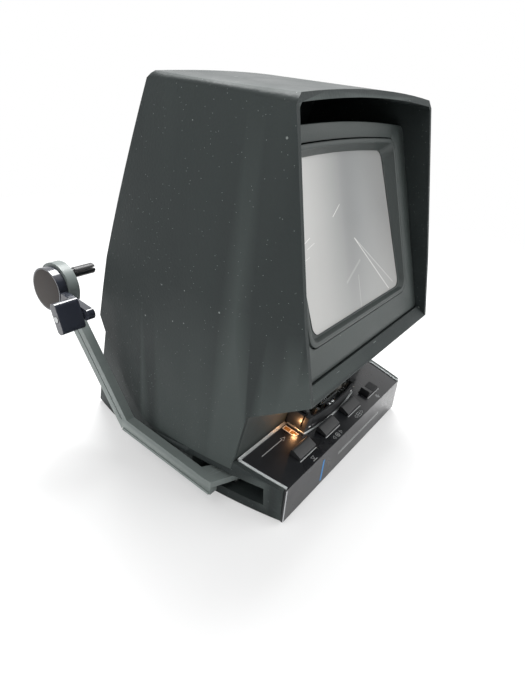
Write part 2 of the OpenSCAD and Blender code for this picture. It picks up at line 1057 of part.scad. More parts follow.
module gate_flap() {
    color("Black")
        on_panel()
            difference() {
                union() {
                    intersection() {
                        block_plan(3.4, cheek_h);
                        block(-cheek_in + 0.3, cheek_in - 0.3, 0, 40, 0, 30);
                    }
                    both_sides()
                        rod_x(20, cheek_in - 0.3, flap_y, flap_z, 1.6);
                }
                difference() {
                    translate([0, bow_y + 1.5 + bow_r, -1])
                        cylinder(r = bow_r, h = 30, $fn = 720);
                    both_sides()
                        rod_x(20, cheek_in - 0.2, flap_y, flap_z, 1.6);
                }
                rod_x(-60, 60, flap_y, flap_z, 0.8 + run_gap);
            }
}

module flap_pin() {
    color("Silver")
        on_panel()
            both_sides()
                rod_x(19.6, cheek_in + 2.8, flap_y, flap_z, 0.8);
}

// Spur gear with slender teeth
module small_gear(teeth, h, phase) {
    r = gate_m * teeth / 2;
    cylinder(r = r - 0.75, h = h);
    for (k = [0:teeth - 1])
        rotate([0, 0, phase + k * 360 / teeth])
            translate([r - 1.2, -0.4, 0])
                cube([1.7, 0.8, h]);
}

module prism() {
    color("PaleTurquoise")
        on_panel()
            translate([0, film_axis_y, 0]) {
                block(-prism_r, prism_r, -prism_r, prism_r, 4, 12);
                translate([0, 0, 3])
                    cylinder(r = prism_r * 1.3, h = 1);
                translate([0, 0, -5.2])
                    cylinder(r = 1.5, h = 18.8);
                translate([0, 0, -5.2])
                    small_gear(12, 2, 0);
            }
}

module sprocket() {
    color("Silver")
        on_panel()
            translate([sprocket_x, film_axis_y, 0]) {
                translate([0, 0, 2.8])
                    cylinder(r = sprocket_r - 0.8, h = 9.6);
                for (z = [2.8, 10.4])
                    translate([0, 0, z])
                        cylinder(r = sprocket_r - 0.05, h = 2);
                for (k = [0:11])
                    rotate([0, 0, k * 30 + 15])
                        translate([sprocket_r - 1, -0.4, 11])
                            cube([1.6, 0.8, 0.9]);
                translate([0, 0, -5.2])
                    cylinder(r = 1.5, h = 18.8);
                translate([0, 0, -5.2])
                    small_gear(36, 2, 5);
            }
}

module guide_roller(side) {
    on_panel()
        translate([side * (cheek_in - 2.8), film_y + 2.1, 2.4])
            difference() {
                union() {
                    cylinder(r = 1.7, h = 9);
                    cylinder(r = 2, h = 1.6);
                    translate([0, 0, 7.4])
                        cylinder(r = 2, h = 1.6);
                }
                translate([0, 0, -1])
                    cylinder(r = 0.9 + run_gap, h = 12);
            }
}

module left_guide_roller() {
    color("Ivory") guide_roller(-1);
}

module right_guide_roller() {
    color("Ivory") guide_roller(1);
}

module roller_pins() {
    color("Silver")
        on_panel()
            for (s = [-1, 1])
                translate([s * (cheek_in - 2.8), film_y + 2.1, 0.8]) {
                    cylinder(r = 0.9, h = 11.4);
                    translate([0, 0, 11])
                        cylinder(r = 1.6, h = 0.9);
                }
}

module key_wedge(x, z0) {
    top = key_h;
    translate([x - key_w / 2, 0, 0])
        along_x(0, key_w)
            polygon([
                [key_y, z0], [key_y + key_d, z0], [key_y + key_d, top - 0.4],
                [key_y + key_d - 0.5, top], [key_y + key_d - 2.5, top], [key_y, top - 2.2]
            ]);
}

module mark_button() {
    color("Black")
        on_panel() {
            key_wedge(mark_x, -0.4 - mark_travel);
            difference() {
                block(mark_x - 11.9, mark_x + 11.9, key_y - 0.4, key_y + key_d + 0.4,
                    mark_floor + 4.6, mark_floor + 6.7);
                translate([mark_x, key_y + key_d / 2, mark_floor + 3])
                    cylinder(r = 0.93, h = 3);
            }
        }
}

module mark_punch() {
    color("Silver")
        on_panel()
            translate([mark_x, key_y + key_d / 2, mark_floor - 3.6])
                cylinder(r = 0.9, h = 9.5);
}

module mark_spring() {
    color("Silver")
        on_panel()
            for (k = [0:4])
                translate([mark_x, key_y + key_d / 2, mark_floor + 0.35 + k * 0.98])
                    rotate_extrude()
                        translate([2.6, 0])
                            circle(r = 0.3, $fn = 24);
}

module slide_key(x) {
    key_wedge(x, 0.35);
    block(x - 4, x + 4, 11.4, 14.8, -2.2, 1);
    block(x - 6, x + 6, 9.4, 16.8, -3.2, -1.9);
}

module focus_slider() {
    color("Black") on_panel() slide_key(focus_x);
}

module frame_slider() {
    color("Black") on_panel() slide_key(frame_x);
}

rocker_z = -3.2;
rocker_tilt = 8;

module lamp_rocker() {
    color("Black")
        on_panel()
            translate([lamp_x, 0, rocker_z])
                rotate([0, rocker_tilt, 0])
                    union() {
                        translate([0, key_y + key_d, 0])
                            rotate([90, 0, 0])
                                linear_extrude(height = key_d)
                                    polygon([
                                        [-9.9, 6.4], [-9.3, 6.8], [0, 4.2], [9.3, 6.8],
                                        [9.9, 6.4], [9.2, -1.4], [-9.2, -1.4]
                                    ]);
                        translate([0, key_y + key_d + 1, 0])
                            rotate([90, 0, 0])
                                cylinder(r = 1.2, h = key_d + 2);
                    }
}

module switch_body() {
    color("DimGray")
        on_panel()
            difference() {
                union() {
                    block(lamp_x - 13.4, lamp_x + 13.4, key_y - 2.2, key_y + key_d + 2.2,
                        -11, -fascia_t - 0.1);
                    block(lamp_x - 6, lamp_x + 6, key_y + 1, key_y + key_d - 1, -17, -11);
                }
                block(lamp_x - 11.6, lamp_x + 11.6, key_y - 0.4, key_y + key_d + 0.4, -7, 3);
                translate([lamp_x, key_y + key_d + 1.2, rocker_z])
                    rotate([90, 0, 0])
                        cylinder(r = 1.2 + run_gap, h = key_d + 2.4);
                block(lamp_x - 1.3, lamp_x + 1.3, key_y - 1.2, key_y + key_d + 1.2, rocker_z, 3);
            }
}

module format_button() {
    color("Gray")
        on_panel()
            translate([cheek_in + 3.3, 34, 8.4])
                difference() {
                    cylinder(r = 2.4, h = 7.2);
                    translate([0, 0, 8])
                        sphere(r = 1.9);
                }
}

module transformer() {
    z0 = foot_h + 2.7;
    color("DimGray")
        translate([38, 40, z0]) {
            difference() {
                block(-22, 22, -15, 15, 0, 36);
                block(-15.2, 15.2, -30, 30, 7.8, 28.2);
            }
            difference() {
                block(-15, 15, -21, 21, 8, 28);
                block(-7, 7, -30, 30, 13, 23);
            }
            block(-6.8, 6.8, -15, 15, 13.2, 22.8);
        }
}

module mains_inlet() {
    color("Black")
        on_back(inlet_x, inlet_z) {
            difference() {
                union() {
                    block(-12, 12, -8, 8, -14, 0);
                    block(-15, 15, -11, 11, -5.2, -3.3);
                }
                block(-8.5, 8.5, -4.2, 4.2, -10, 2);
            }
            for (x = [-4, 4])
                translate([x, 0, -10.5])
                    cylinder(r = 1.2, h = 8.5);
        }
}

// Right-hand reel arm; the left one is its mirror image
module arm_form() {
    far = arm_x + arm_t;
    difference() {
        union() {
            translate([0, 0, 19])
                linear_extrude(height = tongue_t)
                    polygon([
                        [hinge_x, hinge_y + 7.9], [arm_x + 0.5, hinge_y + 19],
                        [far, hinge_y + 16], [far, hinge_y + 3], [hinge_x + 4, hinge_y - 6.8]
                    ]);
            translate([hinge_x, hinge_y, 19])
                cylinder(r = 7.9, h = tongue_t);
            along_x(arm_x, far) {
                polygon([
                    arm_root + [0, -5], arm_root + [0, 5],
                    [arm_root[0] + 16, 25.4],
                    elbow + [-3.5, arm_w / 2 - 1], elbow + [1.5, -arm_w / 2 + 0.2]
                ]);
                translate(elbow)
                    rotate(arm_angle)
                        translate([-2.2, -arm_w / 2])
                            square([arm_rise + 2.2, arm_w]);
            }
            rod_x(arm_x, arm_x + boss_t, hub[0], hub[1], boss_r);
            // Flange along the lower edge and stop at the root
            along_x(far - 1, far + 0.9)
                polygon([
                    [arm_root[0] + 1, 12.9], [arm_root[0] + 1, 14.8],
                    elbow + [0.6, -arm_w / 2 + 2.2], elbow + [1.4, -arm_w / 2 + 0.3]
                ]);
        }
        translate([hinge_x, hinge_y, 0])
            cylinder(r = hinge_pin_r + run_gap, h = 60);
        rod_x(arm_x - 5, arm_x + boss_t + 5, hub[0], hub[1] + gear_off, 4.43);
        rod_x(arm_x + 1.5, arm_x + boss_t + 5, hub[0], hub[1], 1.63);
        // Lengthwise groove in the outer face
        along_x(far - 0.6, far + 0.6)
            translate(elbow)
                rotate(arm_angle)
                    translate([4, -0.5])
                        square([arm_rise - boss_r - 8, 1]);
    }
}

module right_arm() {
    color("DarkSlateGray") arm_form();
}

module left_arm() {
    color("DarkSlateGray") mirror([1, 0, 0]) arm_form();
}

module arm_hinge_pins() {
    color("Silver")
        both_sides()
            translate([hinge_x, hinge_y, 8])
                cylinder(r = hinge_pin_r, h = 22.8);
}

module bush_form() {
    difference() {
        rod_x(arm_x, arm_x + boss_t, hub[0], hub[1] + gear_off, 4.4);
        rod_x(arm_x - 1, arm_x + boss_t + 1, hub[0], hub[1] + gear_off, 2.5 + run_gap);
    }
}

module right_bushes() {
    color("Goldenrod") bush_form();
}

module left_bushes() {
    color("Goldenrod") mirror([1, 0, 0]) bush_form();
}

module spindle_form() {
    x0 = arm_x - 0.4;
    translate([0, hub[0], hub[1] + gear_off])
        difference() {
            union() {
                rod_x(x0 - spindle_len, x0 - 7.6, 0, 0, spindle_r);
                rod_x(x0 - 8, x0 - 0.5, 0, 0, spindle_r - 0.5);
                rod_x(x0 - 6.4, x0 - 0.5, 0, 0, spindle_r);
                rod_x(x0 - 2.2, x0, 0, 0, 6.2);
                rod_x(x0 - 1, disc_x + 3.6, 0, 0, 2.5);
                rod_x(disc_x + 0.2, disc_x + 3.8, 0, 0, gear_m * pinion_teeth / 2 - 0.7);
                for (k = [0:pinion_teeth - 1])
                    rotate([90 + k * 360 / pinion_teeth, 0, 0])
                        translate([disc_x + 0.2, 0, -0.4])
                            cube([3.6, gear_m * pinion_teeth / 2 + 0.5, 0.8]);
                block(x0 - 6.3, x0 - 2, -0.9, 0.9, -spindle_r - 2.4, 0);
            }
            block(x0 - spindle_len - 1, x0 - 7, -8, 8, 0.6, 1.9);
        }
}

module right_spindle() {
    color("Black") spindle_form();
}

module left_spindle() {
    color("Black") mirror([1, 0, 0]) spindle_form();
}

module crank_form() {
    ring_r = gear_m * ring_teeth / 2;
    difference() {
        union() {
            rod_x(disc_x, disc_x + crank_t, hub[0], hub[1], crank_r);
            translate([disc_x + 1, hub[0], hub[1]])
                rotate([lever_droop, 0, 0]) {
                    block(0, crank_t - 1.4, -lever_len - 5, -4, -4, 4);
                    rod_x(0, crank_t - 1.4, -lever_len - 5, 0, 4);
                }
        }
        rod_x(disc_x - 1, disc_x + 4.3, hub[0], hub[1], ring_r + 0.8);
        rod_x(disc_x - 1, disc_x + 20, hub[0], hub[1], 1.6 + run_gap);
        rod_x(disc_x + crank_t - 1.5, disc_x + 20, hub[0], hub[1], 3.4);
        rod_x(disc_x + 2, disc_x + 20, lever_end[0], lever_end[1], 1.33);
    }
    translate([disc_x + 0.3, hub[0], hub[1]])
        for (k = [0:ring_teeth - 1])
            rotate([90 + (k + 0.5) * 360 / ring_teeth, 0, 0])
                translate([0, ring_r - 0.5, -0.4])
                    cube([4.1, 1.5, 0.8]);
}

module right_crank() {
    color("MidnightBlue") crank_form();
}

module left_crank() {
    color("MidnightBlue") mirror([1, 0, 0]) crank_form();
}

module axle_form() {
    rod_x(arm_x + 1.6, disc_x + crank_t - 1, hub[0], hub[1], 1.6);
    rod_x(disc_x + crank_t - 1.3, disc_x + crank_t - 0.1, hub[0], hub[1], 3);
}

module right_crank_axle() {
    color("Silver") axle_form();
}

module left_crank_axle() {
    color("Silver") mirror([1, 0, 0]) axle_form();
}

module grip_form() {
    x0 = disc_x + crank_t + 0.3;
    h = grip_h / 2 - grip_t / 2;
    translate([0, lever_end[0], lever_end[1]])
        difference() {
            rotate([-21, 0, 0]) {
                block(x0, x0 + grip_len, -grip_t / 2, grip_t / 2, -h, h);
                for (s = [-1, 1])
                    rod_x(x0, x0 + grip_len, 0, s * h, grip_t / 2);
            }
            rod_x(x0 - 1, x0 + grip_len + 1, 0, 0, 1.3 + run_gap);
            rod_x(x0 + grip_len - 1, x0 + grip_len + 1, 0, 0, 2.3);
        }
}

module right_grip() {
    color("MidnightBlue") grip_form();
}

module left_grip() {
    color("MidnightBlue") mirror([1, 0, 0]) grip_form();
}

module rivet_form() {
    x1 = disc_x + crank_t + 0.3 + grip_len;
    rod_x(disc_x + 2.1, x1 - 0.4, lever_end[0], lever_end[1], 1.3);
    rod_x(x1 - 0.8, x1 + 0.3, lever_end[0], lever_end[1], 2.1);
}

module right_grip_rivet() {
    color("Silver") rivet_form();
}

module left_grip_rivet() {
    color("Silver") mirror([1, 0, 0]) rivet_form();
}

base_housing();
base_plate();
rubber_feet();
base_screws();
fascia_panel();
trim_frame();
window_lenses();
hood_shell();
rear_cover();
rear_screws();
throat_panel();
screen_mask();
screen_bezel();
viewing_screen();
screen_clips();
large_mirror();
large_mirror_bracket();
small_mirror();
small_mirror_bracket();
lens_barrel();
lens_glass();
lens_mount();
lamp_house();
lamp();
lamp_socket();
condenser_lens();
film_gate();
gate_rails();
gate_flap();
flap_pin();
prism();
sprocket();
left_guide_roller();
right_guide_roller();
roller_pins();
mark_button();
mark_punch();
mark_spring();
focus_slider();
frame_slider();
lamp_rocker();
switch_body();
format_button();
transformer();
mains_inlet();
left_arm();
right_arm();
arm_hinge_pins();
left_spindle();
right_spindle();
left_bushes();
right_bushes();
left_crank();
right_crank();
left_crank_axle();
right_crank_axle();
left_grip();
right_grip();
left_grip_rivet();
right_grip_rivet();
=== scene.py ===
"""Looks of a tabletop film editor-viewer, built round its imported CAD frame.

Sizes are in millimetres where a name or comment says so, and in metres on every Blender object.
X points to the right of a person facing the screen, Y to the back and Z up.
"""

from __future__ import annotations

import json
import logging
import math
from dataclasses import dataclass, field
from enum import Enum

import bmesh
import bpy
from mathutils import Matrix, Vector

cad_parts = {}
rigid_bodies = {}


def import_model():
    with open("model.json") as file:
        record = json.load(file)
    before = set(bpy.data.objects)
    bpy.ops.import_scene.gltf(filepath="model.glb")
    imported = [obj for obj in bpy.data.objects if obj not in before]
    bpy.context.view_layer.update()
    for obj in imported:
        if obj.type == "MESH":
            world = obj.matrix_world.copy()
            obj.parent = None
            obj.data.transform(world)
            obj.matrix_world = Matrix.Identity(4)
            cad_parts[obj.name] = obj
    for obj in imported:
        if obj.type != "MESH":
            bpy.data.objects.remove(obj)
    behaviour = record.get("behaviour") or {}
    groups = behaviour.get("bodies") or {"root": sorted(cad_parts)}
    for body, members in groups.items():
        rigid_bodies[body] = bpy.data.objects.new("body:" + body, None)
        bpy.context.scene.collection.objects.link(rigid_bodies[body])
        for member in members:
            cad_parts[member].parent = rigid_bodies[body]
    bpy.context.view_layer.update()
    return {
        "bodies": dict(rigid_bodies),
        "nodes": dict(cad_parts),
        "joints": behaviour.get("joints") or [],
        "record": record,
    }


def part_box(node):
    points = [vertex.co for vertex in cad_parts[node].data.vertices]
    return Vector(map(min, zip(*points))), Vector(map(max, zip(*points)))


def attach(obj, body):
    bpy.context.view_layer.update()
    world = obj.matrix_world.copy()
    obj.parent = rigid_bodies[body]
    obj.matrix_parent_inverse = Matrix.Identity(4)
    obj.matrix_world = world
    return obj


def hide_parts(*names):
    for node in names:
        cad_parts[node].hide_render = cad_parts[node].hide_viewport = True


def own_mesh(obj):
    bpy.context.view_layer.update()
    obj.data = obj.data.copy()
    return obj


LOG = logging.getLogger("film_viewer")
MM = 0.001
SIDES = ((-1, "left"), (1, "right"))
# The body's sides bow out to this half width, at this Y and with this radius, in mm.
BODY_HALF, WIDEST, SIDE_BOW = 106.5, -25.0, 420.0
# Slope of the panel above the level, in degrees.
PANEL_SLOPE = 11.0
# Points nearer to one another than this are one point, in metres.
WELD = 0.004 * MM
Colour = tuple[float, float, float, float]
Point = tuple[float, float, float]
Flat = tuple[float, float]
Socket = bpy.types.NodeSocket
Tree = bpy.types.NodeTree


def srgb(code: str) -> Colour:
    """Turns an sRGB hex colour into Blender's linear one.

    Args:
        code: six hex digits with a leading hash.

    Returns:
        Linear red, green, blue and an alpha of one.
    """
    channels = [int(code[i : i + 2], 16) / 255 for i in (1, 3, 5)]
    linear = [c / 12.92 if c <= 0.04045 else ((c + 0.055) / 1.055) ** 2.4 for c in channels]
    return (linear[0], linear[1], linear[2], 1.0)


def add_node(tree: Tree, kind: str, inputs: dict | None = None, **settings) -> bpy.types.Node:
    """Adds one node with its settings, values and incoming links.

    Args:
        tree: node tree that gets the node.
        kind: Blender's identifier of the node.
        inputs: value or source socket for each input, by name or place.
        settings: attributes set on the node first.

    Returns:
        The new node.
    """
    node = tree.nodes.new(kind)
    for name, value in settings.items():
        setattr(node, name, value)
    for name, value in (inputs or {}).items():
        if isinstance(value, Socket):
            tree.links.new(value, node.inputs[name])
        else:
            node.inputs[name].default_value = value
    return node


def maths(tree: Tree, operation: str, *values: Socket | float) -> Socket:
    """Adds a math node and returns its result."""
    return add_node(tree, "ShaderNodeMath", dict(enumerate(values)), operation=operation).outputs[0]


def vectors(tree: Tree, operation: str, *values: Socket | Vector | Point) -> Socket:
    """Adds a vector math node and returns its result, a number for a length, distance or product."""
    node = add_node(tree, "ShaderNodeVectorMath", dict(enumerate(values)), operation=operation)
    return node.outputs["Value" if operation in ("LENGTH", "DISTANCE", "DOT_PRODUCT") else "Vector"]


def remap(tree: Tree, value: Socket, low: float, high: float, to_low: float, to_high: float) -> Socket:
    """Carries a range of a value over to another range and returns the result."""
    limits = {"Value": value, "From Min": low, "From Max": high, "To Min": to_low, "To Max": to_high}
    return add_node(tree, "ShaderNodeMapRange", limits).outputs["Result"]


def mixed(tree: Tree, share: Socket, under: Socket | Colour, over: Socket | Colour) -> Socket:
    """Mixes two colours and returns the result."""
    return add_node(tree, "ShaderNodeMix", {"Factor": share, 6: under, 7: over}, data_type="RGBA").outputs[2]


class Relief(Enum):
    """How the surface of a finish was made."""

    MOULDED_GRAIN = "moulded grain"
    SATIN = "satin"
    POLISHED = "polished"
    BRUSHED = "brushed"


@dataclass(frozen=True)
class Finish:
    """One opaque or clear finish with its pattern sizes.

    Attributes:
        name: what the material is.
        colour: sRGB hex of the clean surface.
        worn: sRGB hex of rubbed edges, also their painted highlight, and dust.
        relief: how the surface was made.
        roughness: typical microsurface roughness.
        metallic: one for a bare metal.
        grain: spacing of the relief, in mm.
        depth: height of the relief, in mm.
        mottle: share of slow colour variation.
        dust: share of the surface under fine pale specks.
        scratch: strength of short pale scratches.
        edge: share of the worn colour on outer edges: wear with a painted highlight.
        coat: weight of a clear gloss layer.
        specular: level of the plain reflection, lower on a grained or printed surface.
        ior: index of refraction of a plastic or glass.
        clear: share of light that passes through.
        glow: strength of emitted light.
    """

    name: str
    colour: str
    worn: str = "#8a918e"
    relief: Relief = Relief.SATIN
    roughness: float = 0.5
    metallic: float = 0.0
    grain: float = 1.0
    depth: float = 0.02
    mottle: float = 0.12
    dust: float = 0.0
    scratch: float = 0.0
    edge: float = 0.0
    coat: float = 0.0
    specular: float = 0.5
    ior: float = 1.5
    clear: float = 0.0
    glow: float = 0.0

    def material(self) -> bpy.types.Material:
        """Builds the node material, or returns it if it is there already."""
        found = bpy.data.materials.get(self.name)
        if found:
            return found
        made = bpy.data.materials.new(self.name)
        made.use_nodes = True
        tree = made.node_tree
        tree.nodes.clear()
        place = add_node(tree, "ShaderNodeTexCoord").outputs["Object"]
        # Slow noise, in clouds some 26 mm wide, for colour and sheen; its middle span carries the change.
        slow = add_node(tree, "ShaderNodeTexNoise", {"Vector": place, "Scale": 38.0, "Detail": 3.0}).outputs["Fac"]
        low, high, sheen_drift = 0.3, 0.7, 0.06
        tone = remap(tree, slow, low, high, 0.0, self.mottle)
        colour = self._drawn(tree, place, mixed(tree, tone, srgb(self.colour), srgb(self.worn)))
        if self.dust:
            colour = self._dusted(tree, place, colour)
        if self.scratch:
            colour = self._scratched(tree, place, colour)
        # Pale outer edges: wear and a painted edge highlight.
        if self.edge:
            colour = self._worn_and_highlit_edges(tree, colour)
        smoothest = max(self.roughness - sheen_drift, 0.02)
        rough = remap(tree, slow, low, high, smoothest, self.roughness + sheen_drift)
        height = {"Strength": 1.0, "Distance": self.depth * MM, "Height": self._relief(tree, place)}
        values = {
            "Base Color": colour,
            "Roughness": rough,
            "Normal": add_node(tree, "ShaderNodeBump", height).outputs["Normal"],
            "Metallic": self.metallic,
            "Coat Weight": self.coat,
            "Coat Roughness": 0.08,
            "Transmission Weight": self.clear,
        }
        if not self.metallic:
            values |= {"IOR": self.ior, "Specular IOR Level": self.specular}
        # Emission: the lit bulb is a real light; on the amber windows and the print round them it is painted glow from
        # the lamp behind.
        if self.glow:
            values |= {"Emission Color": srgb(self.colour), "Emission Strength": self.glow}
        shader = add_node(tree, "ShaderNodeBsdfPrincipled", values)
        add_node(tree, "ShaderNodeOutputMaterial", {"Surface": shader.outputs["BSDF"]})
        return made

    def _drawn(self, tree: Tree, place: Socket, under: Socket) -> Socket:
        """Leaves the colour as it is; a finish with a pattern of its own draws it here."""
        return under

    def _relief(self, tree: Tree, place: Socket) -> Socket:
        """Returns the height pattern of the surface."""
        cells = 1 / (self.grain * MM)
        if self.relief is Relief.MOULDED_GRAIN:
            pebble = add_node(tree, "ShaderNodeTexVoronoi", {"Vector": place, "Scale": cells}, feature="SMOOTH_F1")
            return pebble.outputs["Distance"]
        if self.relief is Relief.BRUSHED:
            lines = add_node(tree, "ShaderNodeMapping", {"Vector": place, "Scale": (0.04, 1.0, 1.0)})
            brushed = add_node(tree, "ShaderNodeTexNoise", {"Vector": lines.outputs["Vector"], "Scale": cells})
            return brushed.outputs["Fac"]
        ripple = add_node(tree, "ShaderNodeTexNoise", {"Vector": place, "Scale": cells, "Detail": 2.0})
        return ripple.outputs["Fac"]

    def _dusted(self, tree: Tree, place: Socket, under: Socket) -> Socket:
        """Lays fine pale specks over a colour, one to every third cell of some 10 mm."""
        specks = add_node(tree, "ShaderNodeTexVoronoi", {"Vector": place, "Scale": 105.0, "Randomness": 1.0})
        draw = add_node(tree, "ShaderNodeSeparateColor", {"Color": specks.outputs["Color"]})
        reach = maths(tree, "MULTIPLY", draw.outputs["Red"], self.dust)
        spot = maths(tree, "LESS_THAN", specks.outputs["Distance"], reach)
        rare = maths(tree, "GREATER_THAN", draw.outputs["Green"], 0.62)
        faint = maths(tree, "MULTIPLY", maths(tree, "MULTIPLY", spot, rare), 0.55)
        return mixed(tree, faint, under, srgb("#9aa09d"))

    def _scratched(self, tree: Tree, place: Socket, under: Socket) -> Socket:
        """Draws short pale scratches, some 5 mm long and 0.5 mm wide, in two directions."""
        for turn in ((0.6, 0.8, 0.7), (-0.5, -0.7, 0.9)):
            stretch = {"Vector": place, "Rotation": turn, "Scale": (60.0, 640.0, 640.0)}
            slant = add_node(tree, "ShaderNodeMapping", stretch).outputs["Vector"]
            cell = add_node(tree, "ShaderNodeTexVoronoi", {"Vector": slant, "Scale": 1.0})
            draw = add_node(tree, "ShaderNodeSeparateColor", {"Color": cell.outputs["Color"]})
            rare = maths(tree, "GREATER_THAN", draw.outputs["Red"], 0.94)
            line = maths(tree, "LESS_THAN", cell.outputs["Distance"], 0.16)
            faint = maths(tree, "MULTIPLY", maths(tree, "MULTIPLY", rare, line), self.scratch)
            under = mixed(tree, faint, under, srgb("#8f9694"))
        return under

    def _worn_and_highlit_edges(self, tree: Tree, under: Socket) -> Socket:
        """Lightens the outer edges: wear where hands and boxes rub, and a painted highlight where the edges catch the
        light.
        """
        sharpness = add_node(tree, "ShaderNodeNewGeometry").outputs["Pointiness"]
        return mixed(tree, remap(tree, sharpness, 0.53, 0.62, 0.0, self.edge), under, srgb(self.worn))


@dataclass(frozen=True)
class GroundScreen(Finish):
    """Ground projection screen: soft bands of painted sheen from left to right, a painted reflection that pales its
    lower part, and handling scratches.

    Attributes:
        bands: X in mm and sRGB hex of each soft band of painted sheen, at the screen's mid-height.
        slant: how far the bands lean to the right over their height.
        middle: Z of the mid-height, in mm.
        pale: the lower part of the screen fades to this painted reflection, sRGB hex.
        fade: Z in mm at which it is palest and at which it ends.
        scratches: X and Z of both ends in mm, width in mm and strength of each scratch.
    """

    bands: tuple[tuple[float, str], ...] = (
        (-68.0, "#c2c2c0"),
        (-46.0, "#bdbdbb"),
        (-12.0, "#858787"),
        (4.0, "#808282"),
        (24.0, "#909292"),
        (60.0, "#8c8c8b"),
    )
    slant: float = 0.16
    middle: float = 168.75
    pale: str = "#b0b0ae"
    fade: Flat = (125.0, 190.0)
    scratches: tuple[tuple[float, ...], ...] = (
        (5.5, 176.2, 49.8, 132.1, 0.45, 1.0),
        (6.0, 176.0, 58.5, 135.3, 0.7, 0.35),
        (-19.8, 193.2, -8.5, 199.4, 0.4, 0.8),
        (-60.6, 182.8, -52.0, 185.5, 0.35, 0.9),
        (-57.1, 179.6, -47.9, 181.9, 0.3, 0.8),
        (-62.8, 173.8, -55.8, 175.1, 0.3, 0.6),
        (3.4, 152.0, 0.3, 128.7, 0.4, 0.4),
        (-14.4, 151.0, 8.7, 161.0, 1.6, 0.14),
    )

    def _drawn(self, tree: Tree, place: Socket, under: Socket) -> Socket:
        """Draws the painted sheen bands, the painted reflection at the foot and the scratches on the flat of the
        screen.
        """
        spot = add_node(tree, "ShaderNodeSeparateXYZ", {"Vector": place})
        low, high = self.bands[0][0] * MM, self.bands[-1][0] * MM
        drift = maths(tree, "MULTIPLY", spot.outputs["Z"], -self.slant)
        slanted = maths(tree, "ADD", spot.outputs["X"], drift)
        level = maths(tree, "ADD", slanted, self.slant * self.middle * MM)
        # Painted sheen: soft lighter and darker bands across the screen, leaning with the slant.
        ramp = add_node(tree, "ShaderNodeValToRGB", {"Fac": remap(tree, level, low, high, 0.0, 1.0)})
        ramp.color_ramp.interpolation = "B_SPLINE"
        stops = ramp.color_ramp.elements
        while len(stops) < len(self.bands):
            stops.new(0.5)
        for stop, (x, code) in zip(stops, self.bands):
            stop.position = (x * MM - low) / (high - low)
            stop.color = srgb(code)
        # Painted reflection: the lower part of the screen turns paler.
        foot = remap(tree, spot.outputs["Z"], self.fade[0] * MM, self.fade[1] * MM, 0.45, 0.0)
        colour = mixed(tree, foot, ramp.outputs["Color"], srgb(self.pale))
        flat = vectors(tree, "MULTIPLY", place, (1.0, 0.0, 1.0))
        for x0, z0, x1, z1, width, strength in self.scratches:
            start, way = Vector((x0, 0, z0)) * MM, Vector((x1 - x0, 0, z1 - z0)) * MM
            off = vectors(tree, "SUBTRACT", flat, start)
            run = vectors(tree, "DOT_PRODUCT", off, way / way.length_squared)
            held = add_node(tree, "ShaderNodeClamp", {"Value": run}).outputs["Result"]
            gap = vectors(tree, "DISTANCE", off, vectors(tree, "MULTIPLY", way, held))
            line = remap(tree, gap, 0.35 * width * MM, 0.6 * width * MM, strength, 0.0)
            colour = mixed(tree, line, colour, srgb("#f2f2ef"))
        return colour


# Injection-moulded ABS with a leather grain: dark grey-green, soft sheen. The real grain is near 0.8 mm
# and is drawn at 1.6 mm, because a pixel of the view covers about 0.6 mm.
SHELL = Finish(
    "grained_grey_green_abs", "#242a2a", "#515957", Relief.MOULDED_GRAIN, 0.66, grain=1.6, depth=0.14,
    mottle=0.06, dust=0.10, scratch=0.5, edge=0.5, specular=0.3,
)
# The same ABS without the coarse grain, as on the mask and bezel inside the hood.
INNER = Finish(
    "fine_grained_abs", "#323837", "#626a67", Relief.MOULDED_GRAIN, 0.46, grain=1.1, depth=0.03,
    mottle=0.06, dust=0.04, edge=0.4, specular=0.4,
)
# Smooth ABS of the reel arms: its colour is painted paler than the hood's, as painted light for their upturned faces.
ARM = Finish(
    "smooth_grey_green_abs_painted_light", "#727a78", "#9aa29f", Relief.SATIN, 0.4, grain=2.2, depth=0.01,
    mottle=0.10, dust=0.05, edge=0.55,
)
# Black printed sheet under a gloss lacquer: mirrors the room softly, with smudges.
FASCIA = Finish(
    "black_lacquered_sheet", "#17181b", "#3a3b40", Relief.POLISHED, 0.3, grain=14.0, depth=0.004,
    mottle=0.05, dust=0.05, coat=0.22,
)
# Vacuum-metallised plastic strip: bright, with slightly soft reflections.
CHROME = Finish("metallised_strip", "#d4d6d8", "#9a9da0", Relief.POLISHED, 0.22, 1.0, grain=3.0, depth=0.004)
# Pressed and zinc-plated steel: grey, brushed by handling.
STEEL = Finish("zinc_plated_steel", "#b4b6b6", "#84868a", Relief.BRUSHED, 0.33, 1.0, grain=0.5, depth=0.004)
# Sintered bronze bushes: warm and matte.
BRONZE = Finish("sintered_bronze", "#b08d57", "#7d6238", Relief.SATIN, 0.42, 1.0, grain=0.4, depth=0.01)
# Dyed acrylic windows over the lamp: dull amber, glossy, with a faint glow painted in for the lamp behind.
AMBER = Finish(
    "amber_acrylic", "#8a6230", "#b58a52", Relief.POLISHED, 0.12, grain=4.0, depth=0.004, mottle=0.4,
    ior=1.49, coat=0.4, glow=0.03,
)
# Ground acrylic screen: pale and faintly frosted, with a soft sheen that is painted into its colour as bands.
SCREEN = GroundScreen(
    "ground_acrylic_screen", "#a9aaa9", "#b1b2b1", Relief.SATIN, 0.34, grain=0.6, depth=0.002,
    mottle=0.1, ior=1.49,
)
# Front-silvered glass.
MIRROR = Finish(
    "front_silvered_glass", "#e9ecee", "#dfe3e6", Relief.POLISHED, 0.04, 1.0, grain=20.0, depth=0.001,
    mottle=0.05,
)
# Painted steel sheet of the hidden brackets and the base plate.
BRACKET = Finish(
    "grey_painted_sheet_steel", "#4c4f50", "#77797a", Relief.SATIN, 0.5, grain=0.7, depth=0.02, edge=0.4,
)
